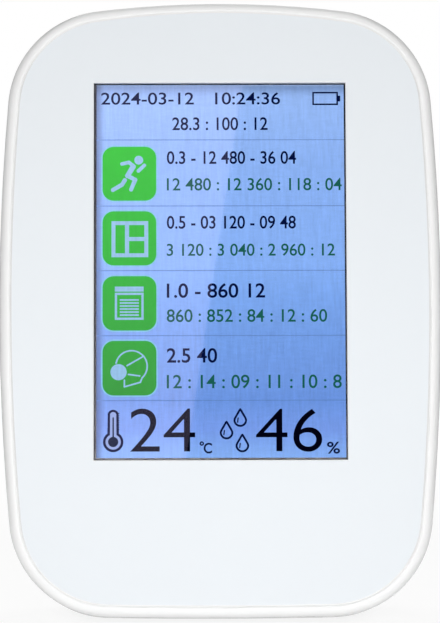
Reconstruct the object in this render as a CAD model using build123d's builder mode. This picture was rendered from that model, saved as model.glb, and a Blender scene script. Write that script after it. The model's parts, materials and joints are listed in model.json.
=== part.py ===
from build123d import *
from math import cos, pi, radians, sin, sqrt, tan
import os

# Air monitor with a laser particle counter: a leaning moulded housing in two halves, a flat
# front panel round a 3.5 inch display, and a fan-driven optical sensor behind a rear grille.
#
# Frame: +Z up, the display looks towards -Y, +X is right as one faces it, and the origin lies
# on the ground below the middle of the housing. The face leans back, so most places are given
# on it: "height" runs up the face from the foot of its outline, and "depth" runs square to it,
# rearward from the front panel's outer face. Millimetres and degrees.

# ---- Housing outline ----
face_width = 87.0
face_height = 122.0
body_depth = 36.0
lean = 8.0                   # the face leans back from upright
side_radius = 477.0          # crown of the two sides
side_rise = 1.7              # widest line of the sides above the middle of the face
top_radius = 170.0           # crown of the top
bottom_radius = 980.0        # the foot is almost straight
corner_radius = 20.0

# ---- Housing shell ----
wall = 2.0
front_wall = 1.5
rim_width = 2.25             # rounded rim seen round the front panel
rim_radius = 5.0
rim_edge_radius = 0.25       # inner edge of the rim
seam_depth = 14.0            # rear edge of the front housing
seam_gap = 0.3               # reveal between the two halves
lip_thickness = 0.8          # tongue of the rear cover inside the front housing
lip_height = 1.6
lip_gap = 0.15
rear_draft = 3.0
rear_radius = 8.0

# ---- Base and feet ----
base_start = 6.0             # depth at which the outline runs down into the flat base
foot_proud = 0.5             # the feet stand out of the base
foot_pocket = 0.6            # and are glued into pockets this deep
foot_length = 48.0
foot_width = 3.0
front_foot_depth = 18.0
rear_foot_depth = 30.5
foot_gap = 0.1

# ---- Front panel and display window ----
panel_thickness = 1.2
panel_gap = 0.06
panel_bevel_width = 0.7
panel_bevel_drop = 0.15
tape_thickness = 0.15
tape_margin = 1.0            # tape kept back from the panel's edge
tape_window_margin = 0.6     # and from the window
window_width = 49.8
window_height = 74.8
window_rise = 7.15           # middle of the window above the middle of the face
window_bevel = 0.12

# ---- Display stack, front to back ----
touch_width = 53.0
touch_height = 79.0
touch_thickness = 1.1
touch_gap = 0.2              # between the touch panel and its opening
glass_gap = 0.15             # between the touch panel and the cell
cell_width = 52.4
cell_height = 78.6
cell_thickness = 1.3
cell_gap = 0.1               # cell and light guide in their tray
guide_thickness = 1.8
tray_width = 54.6
tray_height = 83.0
tray_floor = 0.4
tray_corner = 1.0
gasket_thickness = 0.4
display_tape_thickness = 0.4
display_tape_width = 40.0
display_tape_height = 60.0

# ---- Main board and what it carries ----
board_inset = 4.0
board_thickness = 1.6
board_boss_radius = 2.8
board_boss_x = 33.5
board_boss_foot = 38.0       # lower pair above the outline's foot
board_boss_head = 40.0       # upper pair below its top
board_hole_gap = 0.4         # round the housing bosses
flex_width = 26.0
flex_thickness = 0.3
flex_slot_drop = 4.15        # below the display tray
flex_slot_tall = 2.4
flex_bend = 1.2              # inner radius of the flex's bends
socket_drop = 7.5            # below the flex slot
socket_width = 30.0
socket_tall = 4.0
socket_thickness = 1.6
socket_corner = 0.4
plug_rise = 4.0              # battery and sensor connectors sit on one line above the battery
plug_depth = 3.0
plug_tall = 4.2
plug_edge = 0.4
battery_plug_x = 12.0
battery_plug_width = 6.0
sensor_plug_x = -10.0
sensor_plug_width = 11.0
climate_inset = 8.5          # in from the housing's side
climate_head = 29.0          # below its top
climate_size = 3.0
climate_thickness = 1.2

# ---- Charging socket, right side ----
usb_height = 60.0
usb_width = 7.6
usb_thickness = 2.8
usb_length = 5.6
usb_shell = 0.3
usb_recess = 1.0             # mouth in from the housing's outer face
usb_gap = 0.45
usb_tongue = 0.6

# ---- Power button, top ----
button_x = 0.0
button_length = 10.0
button_width = 3.6
button_proud = 0.5
button_gap = 0.15
button_travel = 0.35
button_edge_radius = 0.3
button_flange = 0.9          # overlap of the flange behind the wall
button_flange_gap = 0.25
button_flange_thickness = 0.8
button_post_radius = 0.9
switch_width = 6.0
switch_tall = 3.6
switch_thickness = 3.6
switch_drop = 3.0            # top of the switch below the housing's inner face
switch_plunger_radius = 1.0
switch_plunger_out = 0.9
switch_plunger_in = 1.0
switch_gap = 0.1
switch_corner = 0.3
switch_plunger_edge = 0.15

# ---- Housing screws ----
post_gap = 0.8               # between the bosses and the display tray
post_foot = 20.0
post_head = 22.0
post_radius = 3.5
post_meet = 13.0             # depth where the rear posts meet the front bosses
post_floor = 2.0             # under the screw's head
boss_radius = 3.1
boss_foot = 2.0              # blind end of the screw's hole above the front wall
screw_radius = 1.3
screw_head_radius = 2.4
screw_head_height = 1.6
screw_engagement = 7.0
screw_gap = 0.06
head_gap = 0.5
board_screw_radius = 0.95
board_screw_head_radius = 2.0
board_screw_head_height = 1.2
board_screw_engagement = 2.6
cross_width = 0.7            # cross recess of every screw
cross_depth = 0.7

# ---- Battery ----
battery_width = 50.0
battery_height = 38.0
battery_thickness = 8.0
battery_foot = 8.0           # lower edge of the pouch
battery_edge = 3.0
battery_end_edge = 0.8
battery_flap = 4.0           # sealed flap at the upper end, where the wires leave
battery_flap_thickness = 2.4
battery_rib_count = 4
battery_rib_width = 1.4
battery_rib_height = 12.0
battery_tape_thickness = 0.3
wire_radius = 0.6
wire_pitch = 2.0
wire_bend = 2.0

# ---- Particle sensor ----
sensor_width = 50.0
sensor_height = 38.0
sensor_thickness = 21.0
sensor_rise = 9.0            # above the battery
sensor_wall = 1.5
sensor_lid = 1.4
sensor_corner = 1.5
sensor_gasket_thickness = 1.0
cradle_gap = 0.3
cradle_wall = 1.2
cradle_height = 6.0
cradle_window = 16.0         # gaps in the cradle's long sides
port_count = 3
port_width = 2.0
port_height = 5.0
port_inset = 9.0             # in from the sensor's left end
port_pitch = 9.0
sensor_board_thickness = 1.2
sensor_board_standoff = 1.4
sensor_board_gap = 1.5       # inside the case, all round
sensor_post_radius = 1.6
sensor_post_inset = 2.5      # in from the sensor board's edges
laser_radius = 2.8
laser_length = 7.5
laser_inset = 16.0           # in from the sensor's left end
laser_rise = 10.0            # above the sensor's middle
laser_depth = 21.0
laser_flange = 1.2
laser_gap = 0.05
photodiode_size = 4.0
photodiode_thickness = 1.4
ribbon_thickness = 0.9
ribbon_bend = 1.5
ribbon_gap = 0.3

# ---- Fan ----
fan_inset = 13.5             # in from the sensor's right end
duct_radius = 10.3
duct_wall = 1.3
duct_length = 7.5
spider_thickness = 1.2
spider_arms = 3
spider_arm_width = 1.8
motor_base_radius = 4.0
motor_base_thickness = 0.8
stator_radius = 3.3
stator_length = 3.2
stator_gap = 0.8
sleeve_radius = 1.6
sleeve_gap = 0.4             # end of the sleeve to the hub's floor
shaft_radius = 0.75
shaft_gap = 0.03
hub_radius = 4.6
hub_wall = 0.8
hub_length = 5.6
hub_setback = 0.8            # rear of the hub in from the sensor's rear face
blade_count = 7
blade_root = 4.2
blade_tip = 9.6
blade_root_chord = 4.6
blade_tip_chord = 6.0
blade_root_pitch = 32.0
blade_tip_pitch = 52.0
blade_thickness = 0.6

# ---- Rear grille and side vents ----
grille_radius = 22.0
grille_slot = 1.6
grille_pitch = 3.4
grille_rows = 13
grille_dish = 0.4
grille_margin = 2.0
vent_slot = 1.4
vent_length = 9.0
vent_pitch = 3.2
vent_rows = 9
vent_depth = 24.0
climate_vent_rows = 4
climate_vent_length = 4.0
climate_vent_depth = 9.5

# ---- Places that follow from the sizes above ----
lean_sin = sin(radians(lean))
lean_cos = cos(radians(lean))
lean_tan = tan(radians(lean))
rim_crown = rim_radius - sqrt(rim_radius**2 - (rim_radius - rim_width)**2)
panel_seat = panel_thickness + tape_thickness
front_wall_rear = panel_seat + front_wall
seam_rear = seam_depth + seam_gap
rear_wall_front = body_depth - wall
draft_inset = (body_depth - seam_rear) * tan(radians(rear_draft))

window_middle = face_height / 2 + window_rise
touch_rear = panel_seat + touch_thickness
cell_front = touch_rear + glass_gap
guide_front = cell_front + cell_thickness
tray_front = front_wall_rear + gasket_thickness
tray_floor_front = guide_front + guide_thickness
tray_rear = tray_floor_front + tray_floor
board_front = tray_rear + display_tape_thickness
board_rear = board_front + board_thickness
usb_depth = board_rear + usb_thickness / 2
button_depth = board_rear + switch_thickness / 2
flex_slot_height = window_middle - tray_height / 2 - flex_slot_drop
socket_height = flex_slot_height - socket_drop
climate_x = climate_inset - face_width / 2
climate_height = face_height - climate_head

sensor_rear = rear_wall_front - sensor_gasket_thickness
sensor_front = sensor_rear - sensor_thickness
sensor_case_front = sensor_front + sensor_lid
sensor_rear_wall = sensor_rear - sensor_wall
battery_head = battery_foot + battery_height
plug_row_height = battery_head + plug_rise
sensor_foot = battery_head + sensor_rise
sensor_middle = sensor_foot + sensor_height / 2
port_x = port_inset - sensor_width / 2
laser_x = laser_inset - sensor_width / 2
fan_x = sensor_width / 2 - fan_inset
battery_rear = rear_wall_front - battery_rib_height - battery_tape_thickness
battery_front = battery_rear - battery_thickness
battery_middle = battery_foot + battery_height / 2
sensor_board_front = sensor_case_front + sensor_board_standoff
sensor_board_rear = sensor_board_front + sensor_board_thickness
sensor_board_width = sensor_width - 2 * (sensor_wall + sensor_board_gap)
sensor_board_height = sensor_height - 2 * (sensor_wall + sensor_board_gap)
duct_front = sensor_rear_wall - duct_length
motor_front = duct_front + spider_thickness
motor_rear = motor_front + motor_base_thickness
hub_rear = sensor_rear - hub_setback
hub_front = hub_rear - hub_length
hub_floor = hub_rear - hub_wall

post_x = tray_width / 2 + post_gap + boss_radius
post_points = [(x, height) for x in (-post_x, post_x) for height in (post_foot, face_height - post_head)]
board_boss_heights = (board_boss_foot, face_height - board_boss_head)
board_boss_points = [(x, height) for x in (-board_boss_x, board_boss_x) for height in board_boss_heights]

front_reach = rim_width * lean_sin
rear_reach = (face_height - draft_inset - rear_radius) * lean_sin
rear_reach += (body_depth - rear_radius) * lean_cos + rear_radius
face_y = -(front_reach + rear_reach) / 2
face_z = foot_proud + base_start * lean_sin

face_plane = Plane(origin=(0, face_y, face_z), x_dir=(1, 0, 0), z_dir=(0, -lean_cos, lean_sin))
forward = Axis(face_plane.origin, face_plane.z_dir)
base_plane = Plane.XY.offset(foot_proud)


def layer(depth):
    """Work plane at a depth: x right, y up the face, normal forward."""
    return face_plane.offset(-depth)


def shelf(height):
    """Work plane across the body at a height: x right, y rearward, normal up the face."""
    origin = face_plane.from_local_coords((0, height, 0))
    return Plane(origin=origin, x_dir=face_plane.x_dir, z_dir=face_plane.y_dir)


def flank(reach):
    """Work plane along the body, right of its middle: x rearward, y up the face, normal right."""
    origin = face_plane.from_local_coords((reach, 0, 0))
    return Plane(origin=origin, x_dir=-face_plane.z_dir, z_dir=face_plane.x_dir)


def base_y(depth):
    """Where the base lies in Y below a depth."""
    return face_y + depth / lean_cos - base_start * lean_sin * lean_tan


def body_outline(inset=0.0):
    """Housing outline drawn in by inset: four large circles overlap, and their corners are rounded."""
    side_middle = face_width / 2 - side_radius
    widest = face_height / 2 + side_rise
    with BuildSketch(Plane.XY, mode=Mode.PRIVATE) as outline:
        with Locations((side_middle, widest)):
            Circle(side_radius - inset)
        with Locations((-side_middle, widest)):
            Circle(side_radius - inset, mode=Mode.INTERSECT)
        with Locations((0, face_height - top_radius)):
            Circle(top_radius - inset, mode=Mode.INTERSECT)
        with Locations((0, bottom_radius)):
            Circle(bottom_radius - inset, mode=Mode.INTERSECT)
        fillet(outline.vertices(), corner_radius - inset)
    return outline.sketch


def housing_block(inset, front, rear):
    """Solid of the outline between two depths, drawn in by inset all round and off the base."""
    with BuildPart(mode=Mode.PRIVATE) as block:
        with BuildSketch(layer(front)):
            add(body_outline(inset))
        extrude(amount=front - rear)
        split(bisect_by=base_plane.offset(inset), keep=Keep.TOP)
    return block.part


def save(part, name):
    """Label a finished piece and write it to its own file."""
    part.label = name
    export_step(part, f"parts/{name}.step")


os.makedirs("parts", exist_ok=True)

# ---- Front housing: rounded rim, panel seat, display opening, bosses, socket and button holes ----
with BuildPart() as front_housing:
    with BuildSketch(layer(-rim_crown)):
        add(body_outline())
    extrude(amount=-(rim_crown + seam_depth))
    fillet(front_housing.faces().sort_by(forward)[-1].edges(), rim_radius)
    with BuildSketch(layer(-rim_crown)):
        add(body_outline(rim_width))
    extrude(amount=-(rim_crown + panel_seat), mode=Mode.SUBTRACT)
    fillet(front_housing.edges().filter_by_position(forward, -0.02, 0.02), rim_edge_radius)
    split(bisect_by=base_plane, keep=Keep.TOP)
    add(housing_block(wall, front_wall_rear, seam_depth), mode=Mode.SUBTRACT)
    rebate = housing_block(wall - lip_thickness - lip_gap, seam_depth - lip_height - lip_gap, seam_depth)
    add(rebate, mode=Mode.SUBTRACT)
    # Opening that the touch panel sits in
    with BuildSketch(layer(panel_seat)):
        with Locations((0, window_middle)):
            Rectangle(touch_width + 2 * touch_gap, touch_height + 2 * touch_gap)
    extrude(amount=-front_wall, mode=Mode.SUBTRACT)
    # Bosses for the housing screws, and shorter ones that the board rests on
    with BuildSketch(layer(front_wall_rear)):
        with Locations(*post_points):
            Circle(boss_radius)
    extrude(amount=front_wall_rear - post_meet)
    with BuildSketch(layer(post_meet)):
        with Locations(*post_points):
            Circle(screw_radius + screw_gap)
    extrude(amount=post_meet - front_wall_rear - boss_foot, mode=Mode.SUBTRACT)
    with BuildSketch(layer(front_wall_rear)):
        with Locations(*board_boss_points):
            Circle(board_boss_radius)
    extrude(amount=front_wall_rear - board_front)
    with BuildSketch(layer(board_front)):
        with Locations(*board_boss_points):
            Circle(board_screw_radius + screw_gap)
    extrude(amount=board_screw_engagement + screw_gap, mode=Mode.SUBTRACT)
    # Charging socket's opening in the right wall
    with BuildSketch(flank(face_width / 2 - 2 * wall)):
        with Locations((usb_depth, usb_height)):
            RectangleRounded(usb_thickness + 2 * usb_gap, usb_width + 2 * usb_gap, usb_thickness / 2)
    extrude(amount=3 * wall, mode=Mode.SUBTRACT)
    # Power button's hole in the top wall
    with BuildSketch(shelf(face_height - 3 * wall)):
        with Locations((button_x, button_depth)):
            SlotOverall(button_length + 2 * button_gap, button_width + 2 * button_gap)
    extrude(amount=4 * wall, mode=Mode.SUBTRACT)
    # Air slots beside the temperature and humidity sensor
    with BuildSketch(flank(-face_width / 2 - wall)):
        with Locations((climate_vent_depth, climate_height)):
            with GridLocations(1, vent_pitch, 1, climate_vent_rows):
                SlotOverall(climate_vent_length, vent_slot)
    extrude(amount=3 * wall, mode=Mode.SUBTRACT)
save(front_housing.part, "front_housing")

# ---- Rear cover: drafted shell, tongue, screw posts, sensor cradle, battery ribs, grille ----
with BuildPart() as rear_cavity:
    with BuildSketch(layer(seam_rear)):
        add(body_outline(wall))
    extrude(amount=seam_rear - rear_wall_front, taper=rear_draft)
    fillet(rear_cavity.faces().sort_by(forward)[0].edges(), rear_radius - wall)
    split(bisect_by=base_plane.offset(wall), keep=Keep.TOP)

with BuildPart() as rear_cover:
    with BuildSketch(layer(seam_rear)):
        add(body_outline())
    extrude(amount=seam_rear - body_depth, taper=rear_draft)
    fillet(rear_cover.faces().sort_by(forward)[0].edges(), rear_radius)
    split(bisect_by=base_plane, keep=Keep.TOP)
    add(housing_block(wall - lip_thickness, seam_depth - lip_height, seam_rear))
    add(housing_block(wall, seam_depth - lip_height, seam_rear), mode=Mode.SUBTRACT)
    add(rear_cavity.part, mode=Mode.SUBTRACT)
    # Screw posts that reach forward to the front housing's bosses
    with BuildSketch(layer(post_meet)):
        with Locations(*post_points):
            Circle(post_radius)
    extrude(amount=post_meet - rear_wall_front - wall / 4)
    with BuildSketch(layer(post_meet)):
        with Locations(*post_points):
            Circle(screw_radius + screw_gap)
    extrude(amount=-body_depth, mode=Mode.SUBTRACT)
    with BuildSketch(layer(post_meet + post_floor)):
        with Locations(*post_points):
            Circle(screw_head_radius + head_gap)
    extrude(amount=-body_depth, mode=Mode.SUBTRACT)
    # Cradle round the particle sensor, open in the middle of its long sides
    with BuildSketch(layer(rear_wall_front - cradle_height)):
        with Locations((0, sensor_middle)):
            reach = 2 * (cradle_gap + cradle_wall)
            Rectangle(sensor_width + reach, sensor_height + reach)
            Rectangle(sensor_width + 2 * cradle_gap, sensor_height + 2 * cradle_gap, mode=Mode.SUBTRACT)
            Rectangle(sensor_width - 2 * cradle_window, 2 * sensor_height, mode=Mode.SUBTRACT)
            Rectangle(2 * sensor_width, sensor_height - cradle_window, mode=Mode.SUBTRACT)
    extrude(amount=-(cradle_height + wall / 4))
    # Ribs that the battery is taped to
    with BuildSketch(layer(rear_wall_front - battery_rib_height)):
        with Locations((0, battery_middle)):
            rib_pitch = (battery_width - 2 * battery_edge - battery_rib_width) / (battery_rib_count - 1)
            with GridLocations(rib_pitch, 1, battery_rib_count, 1):
                Rectangle(battery_rib_width, battery_height - 2 * battery_edge)
    extrude(amount=-(battery_rib_height + wall / 4))
    # Grille: a shallow round dish crossed by slots that end on a circle
    with BuildSketch(layer(body_depth)):
        with Locations((0, sensor_middle)):
            Circle(grille_radius + grille_margin)
    extrude(amount=grille_dish, taper=45, mode=Mode.SUBTRACT)
    with BuildSketch(layer(body_depth)):
        for row in range(grille_rows):
            rise = (row - (grille_rows - 1) / 2) * grille_pitch
            with Locations((0, sensor_middle + rise)):
                SlotOverall(2 * sqrt(grille_radius**2 - rise**2), grille_slot)
    extrude(amount=1.5 * wall, mode=Mode.SUBTRACT)
    # Vents in both sides
    for reach in (-face_width / 2 - wall, face_width / 2 - 3 * wall):
        with BuildSketch(flank(reach)):
            with Locations((vent_depth, sensor_middle)):
                with GridLocations(1, vent_pitch, 1, vent_rows):
                    SlotOverall(vent_length, vent_slot)
        extrude(amount=4 * wall, mode=Mode.SUBTRACT)
    # Pockets for the two feet
    with BuildSketch(base_plane):
        with Locations((0, base_y(front_foot_depth)), (0, base_y(rear_foot_depth))):
            SlotOverall(foot_length + 2 * foot_gap, foot_width + 2 * foot_gap)
    extrude(amount=foot_pocket, mode=Mode.SUBTRACT)
save(rear_cover.part, "rear_cover")

# ---- Feet: rubber strips glued into the base ----
for foot_name, foot_depth in (("front_foot", front_foot_depth), ("rear_foot", rear_foot_depth)):
    with BuildPart() as foot:
        with BuildSketch(Plane.XY):
            with Locations((0, base_y(foot_depth))):
                SlotOverall(foot_length, foot_width)
        extrude(amount=foot_proud + foot_pocket)
        chamfer(foot.faces().sort_by(Axis.Z)[0].edges(), foot_proud / 3)
    save(foot.part, foot_name)

# ---- Front panel: flat white plate, bevelled at its edge and round the window ----
with BuildPart() as front_panel:
    with BuildSketch(layer(0)):
        add(body_outline(rim_width + panel_gap))
    extrude(amount=-panel_thickness)
    panel_front = front_panel.faces().sort_by(forward)[-1]
    chamfer(panel_front.edges(), panel_bevel_drop, panel_bevel_width, reference=panel_front)
    with BuildSketch(layer(0)):
        with Locations((0, window_middle)):
            Rectangle(window_width, window_height)
    extrude(amount=-panel_thickness, mode=Mode.SUBTRACT)
    window_edges = front_panel.faces().sort_by(forward)[-1].inner_wires()[0].edges()
    chamfer(window_edges, window_bevel)
save(front_panel.part, "front_panel")

# ---- Panel tape: black adhesive between the panel, the housing and the touch panel ----
with BuildPart() as panel_tape:
    with BuildSketch(layer(panel_thickness)):
        add(body_outline(rim_width + panel_gap + tape_margin))
        with Locations((0, window_middle)):
            reach = 2 * tape_window_margin
            Rectangle(window_width + reach, window_height + reach, mode=Mode.SUBTRACT)
    extrude(amount=-tape_thickness)
save(panel_tape.part, "panel_tape")

# ---- Display stack: touch panel, liquid crystal cell, light guide, tray, gasket, tape ----
with BuildPart() as touch_panel:
    with BuildSketch(layer(panel_seat)):
        with Locations((0, window_middle)):
            Rectangle(touch_width, touch_height)
    extrude(amount=-touch_thickness)
save(touch_panel.part, "touch_panel")

with BuildPart() as lcd_cell:
    with BuildSketch(layer(cell_front)):
        with Locations((0, window_middle)):
            Rectangle(cell_width, cell_height)
    extrude(amount=-cell_thickness)
save(lcd_cell.part, "lcd_cell")

with BuildPart() as light_guide:
    with BuildSketch(layer(guide_front)):
        with Locations((0, window_middle)):
            Rectangle(cell_width, cell_height)
    extrude(amount=-guide_thickness)
save(light_guide.part, "light_guide")

with BuildPart() as backlight_tray:
    with BuildSketch(layer(tray_front)):
        with Locations((0, window_middle)):
            Rectangle(tray_width, tray_height)
    extrude(amount=tray_front - tray_rear)
    fillet(backlight_tray.edges().filter_by(forward), tray_corner)
    with BuildSketch(layer(tray_front)):
        with Locations((0, window_middle)):
            Rectangle(cell_width + 2 * cell_gap, cell_height + 2 * cell_gap)
    extrude(amount=tray_front - tray_floor_front, mode=Mode.SUBTRACT)
    # Notch that the flex leaves by
    with BuildSketch(layer(tray_front)):
        with Locations((0, window_middle - tray_height / 2)):
            Rectangle(flex_width + 2 * cell_gap, tray_height - cell_height)
    extrude(amount=tray_front - guide_front, mode=Mode.SUBTRACT)
save(backlight_tray.part, "backlight_tray")

with BuildPart() as display_gasket:
    with BuildSketch(layer(front_wall_rear)):
        with Locations((0, window_middle)):
            Rectangle(tray_width, tray_height)
            reach = 2 * touch_gap
            Rectangle(touch_width + reach, touch_height + reach, mode=Mode.SUBTRACT)
    extrude(amount=-gasket_thickness)
save(display_gasket.part, "display_gasket")

with BuildPart() as display_tape:
    with BuildSketch(layer(tray_rear)):
        with Locations((0, window_middle)):
            Rectangle(display_tape_width, display_tape_height)
    extrude(amount=-display_tape_thickness)
save(display_tape.part, "display_tape")

# ---- Main board: follows the housing, slotted for the flex and holed for the bosses ----
with BuildPart() as main_board:
    with BuildSketch(layer(board_front)):
        add(body_outline(board_inset))
        with Locations(*post_points):
            Circle(boss_radius + board_hole_gap, mode=Mode.SUBTRACT)
        with Locations(*board_boss_points):
            Circle(board_screw_radius + screw_gap, mode=Mode.SUBTRACT)
        with Locations((0, flex_slot_height)):
            SlotOverall(flex_width + flex_slot_tall, flex_slot_tall, mode=Mode.SUBTRACT)
    extrude(amount=-board_thickness)
save(main_board.part, "main_board")

# ---- Display flex: out of the tray's notch, round through the board's slot, down to its socket ----
flex_front = guide_front - flex_thickness
flex_top = window_middle - cell_height / 2
flex_end = board_rear + socket_thickness / 2
with BuildPart() as display_flex:
    with BuildSketch(flank(-flex_width / 2)):
        with BuildLine():
            flex_path = FilletPolyline(
                (flex_front + flex_thickness / 2, flex_top),
                (flex_front + flex_thickness / 2, flex_slot_height),
                (flex_end, flex_slot_height),
                (flex_end, socket_height + socket_tall / 2),
                radius=flex_bend + flex_thickness / 2,
            )
        trace(flex_path, flex_thickness)
    extrude(amount=flex_width)
save(display_flex.part, "display_flex")

with BuildPart() as display_socket:
    with BuildSketch(layer(board_rear)):
        with Locations((0, socket_height)):
            Rectangle(socket_width, socket_tall)
    extrude(amount=-socket_thickness)
    chamfer(display_socket.edges().filter_by(forward), socket_corner)
save(display_socket.part, "display_socket")

# ---- Chips on the board's rear face, each as (x, drop below the housing's top, width, tall, thickness):
# processor, memory, two power parts, crystal, inductor, divider, sounder ----
chip_corner = 0.3
chips = (
    (-6.0, 38.0, 10.0, 10.0, 1.4),
    (9.0, 36.0, 6.0, 5.0, 1.2),
    (9.0, 46.0, 5.0, 5.0, 1.0),
    (-6.0, 50.0, 5.0, 3.2, 1.0),
    (24.0, 70.0, 5.0, 5.0, 1.2),
    (24.0, 56.0, 6.0, 6.0, 2.8),
    (-26.0, 62.0, 3.0, 3.0, 0.9),
    (-14.0, 14.0, 8.0, 8.0, 2.6),
)
with BuildPart() as board_chips:
    for chip_x, chip_drop, chip_width, chip_tall, chip_thickness in chips:
        with BuildSketch(layer(board_rear)):
            with Locations((chip_x, face_height - chip_drop)):
                RectangleRounded(chip_width, chip_tall, chip_corner)
        extrude(amount=-chip_thickness)
save(board_chips.part, "board_chips")

# ---- Charging socket: thin metal shell with a tongue, mouth in the housing's right side ----
usb_face = face_width / 2 - usb_recess
with BuildPart() as usb_socket:
    with BuildSketch(flank(usb_face)):
        with Locations((usb_depth, usb_height)):
            RectangleRounded(usb_thickness, usb_width, usb_thickness / 4)
    extrude(amount=-usb_length)
    with BuildSketch(flank(usb_face)):
        with Locations((usb_depth, usb_height)):
            bore_radius = usb_thickness / 4 - usb_shell / 2
            RectangleRounded(usb_thickness - 2 * usb_shell, usb_width - 2 * usb_shell, bore_radius)
    extrude(amount=usb_shell - usb_length, mode=Mode.SUBTRACT)
    with BuildSketch(flank(usb_face - usb_length)):
        with Locations((usb_depth, usb_height)):
            Rectangle(usb_tongue, usb_width / 2)
    extrude(amount=usb_length - 2 * usb_shell)
save(usb_socket.part, "usb_socket")

# ---- Power button with its flange and post, the switch on the board, and the switch's plunger ----
button_crown = face_height - button_x**2 / (2 * top_radius)
button_skin = button_crown - wall
flange_top = button_skin - button_flange_gap
flange_foot = flange_top - button_flange_thickness
switch_top = button_skin - switch_drop
plunger_top = switch_top + switch_plunger_out
plunger_foot = switch_top - switch_plunger_in
upward = Axis(face_plane.origin, face_plane.y_dir)

with BuildPart() as power_button:
    with BuildSketch(shelf(flange_foot)):
        with Locations((button_x, button_depth)):
            SlotOverall(button_length, button_width)
    extrude(amount=button_crown + button_proud - flange_foot)
    fillet(power_button.faces().sort_by(upward)[-1].edges(), button_edge_radius)
    with BuildSketch(shelf(flange_foot)):
        with Locations((button_x, button_depth)):
            SlotOverall(button_length + 2 * button_flange, button_width + 2 * button_flange)
    extrude(amount=button_flange_thickness)
    with BuildSketch(shelf(plunger_top)):
        with Locations((button_x, button_depth)):
            Circle(button_post_radius)
    extrude(amount=flange_foot - plunger_top)
save(power_button.part, "power_button")

with BuildPart() as power_switch:
    with BuildSketch(shelf(switch_top - switch_tall)):
        with Locations((button_x, button_depth)):
            Rectangle(switch_width, switch_thickness)
    extrude(amount=switch_tall)
    chamfer(power_switch.edges().filter_by(upward), switch_corner)
    with BuildSketch(shelf(plunger_foot - button_travel - switch_gap)):
        with Locations((button_x, button_depth)):
            Circle(switch_plunger_radius + switch_gap)
    extrude(amount=switch_tall, mode=Mode.SUBTRACT)
save(power_switch.part, "power_switch")

with BuildPart() as switch_plunger:
    with BuildSketch(shelf(plunger_foot)):
        with Locations((button_x, button_depth)):
            Circle(switch_plunger_radius)
    extrude(amount=plunger_top - plunger_foot)
    chamfer(switch_plunger.faces().sort_by(upward)[-1].edges(), switch_plunger_edge)
save(switch_plunger.part, "switch_plunger")

# ---- Battery: sealed pouch with its flap, tape, wires and connector ----
with BuildPart() as battery_cell:
    with BuildSketch(layer(battery_front)):
        with Locations((0, battery_middle - battery_flap / 2)):
            Rectangle(battery_width, battery_height - battery_flap)
    extrude(amount=-battery_thickness)
    fillet(battery_cell.edges().filter_by(upward), battery_edge)
    fillet(battery_cell.edges().filter_by(Axis.X), battery_end_edge)
    with BuildSketch(layer(battery_front + (battery_thickness - battery_flap_thickness) / 2)):
        with Locations((0, battery_middle)):
            with Locations((0, battery_height / 2)):
                flap_edge = (Align.CENTER, Align.MAX)
                Rectangle(battery_width - 2 * battery_edge, 2 * battery_flap, align=flap_edge)
    extrude(amount=-battery_flap_thickness)
save(battery_cell.part, "battery_cell")

with BuildPart() as battery_tape:
    with BuildSketch(layer(battery_rear)):
        with Locations((0, battery_middle - battery_flap / 2)):
            Rectangle(battery_width - 2 * battery_edge, battery_height - battery_flap - 2 * battery_edge)
    extrude(amount=-battery_tape_thickness)
save(battery_tape.part, "battery_tape")

battery_core = battery_front + battery_thickness / 2
with BuildPart() as battery_wires:
    for side in (-0.5, 0.5):
        wire_plane = flank(battery_plug_x + side * wire_pitch)
        with BuildLine(wire_plane) as wire_path:
            FilletPolyline(
                (battery_core, battery_head),
                (battery_core, plug_row_height),
                (board_rear + plug_depth, plug_row_height),
                radius=wire_bend,
            )
        with BuildSketch(Plane(wire_path.line @ 0, z_dir=wire_path.line % 0)):
            Circle(wire_radius)
        sweep(path=wire_path.line)
save(battery_wires.part, "battery_wires")

plugs = (
    ("battery_connector", battery_plug_x, battery_plug_width),
    ("sensor_connector", sensor_plug_x, sensor_plug_width),
)
for plug_name, plug_x, plug_width in plugs:
    with BuildPart() as plug:
        with BuildSketch(layer(board_rear)):
            with Locations((plug_x, plug_row_height)):
                Rectangle(plug_width, plug_tall)
        extrude(amount=-plug_depth)
        chamfer(plug.faces().sort_by(forward)[0].edges(), plug_edge)
    save(plug.part, plug_name)

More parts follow.
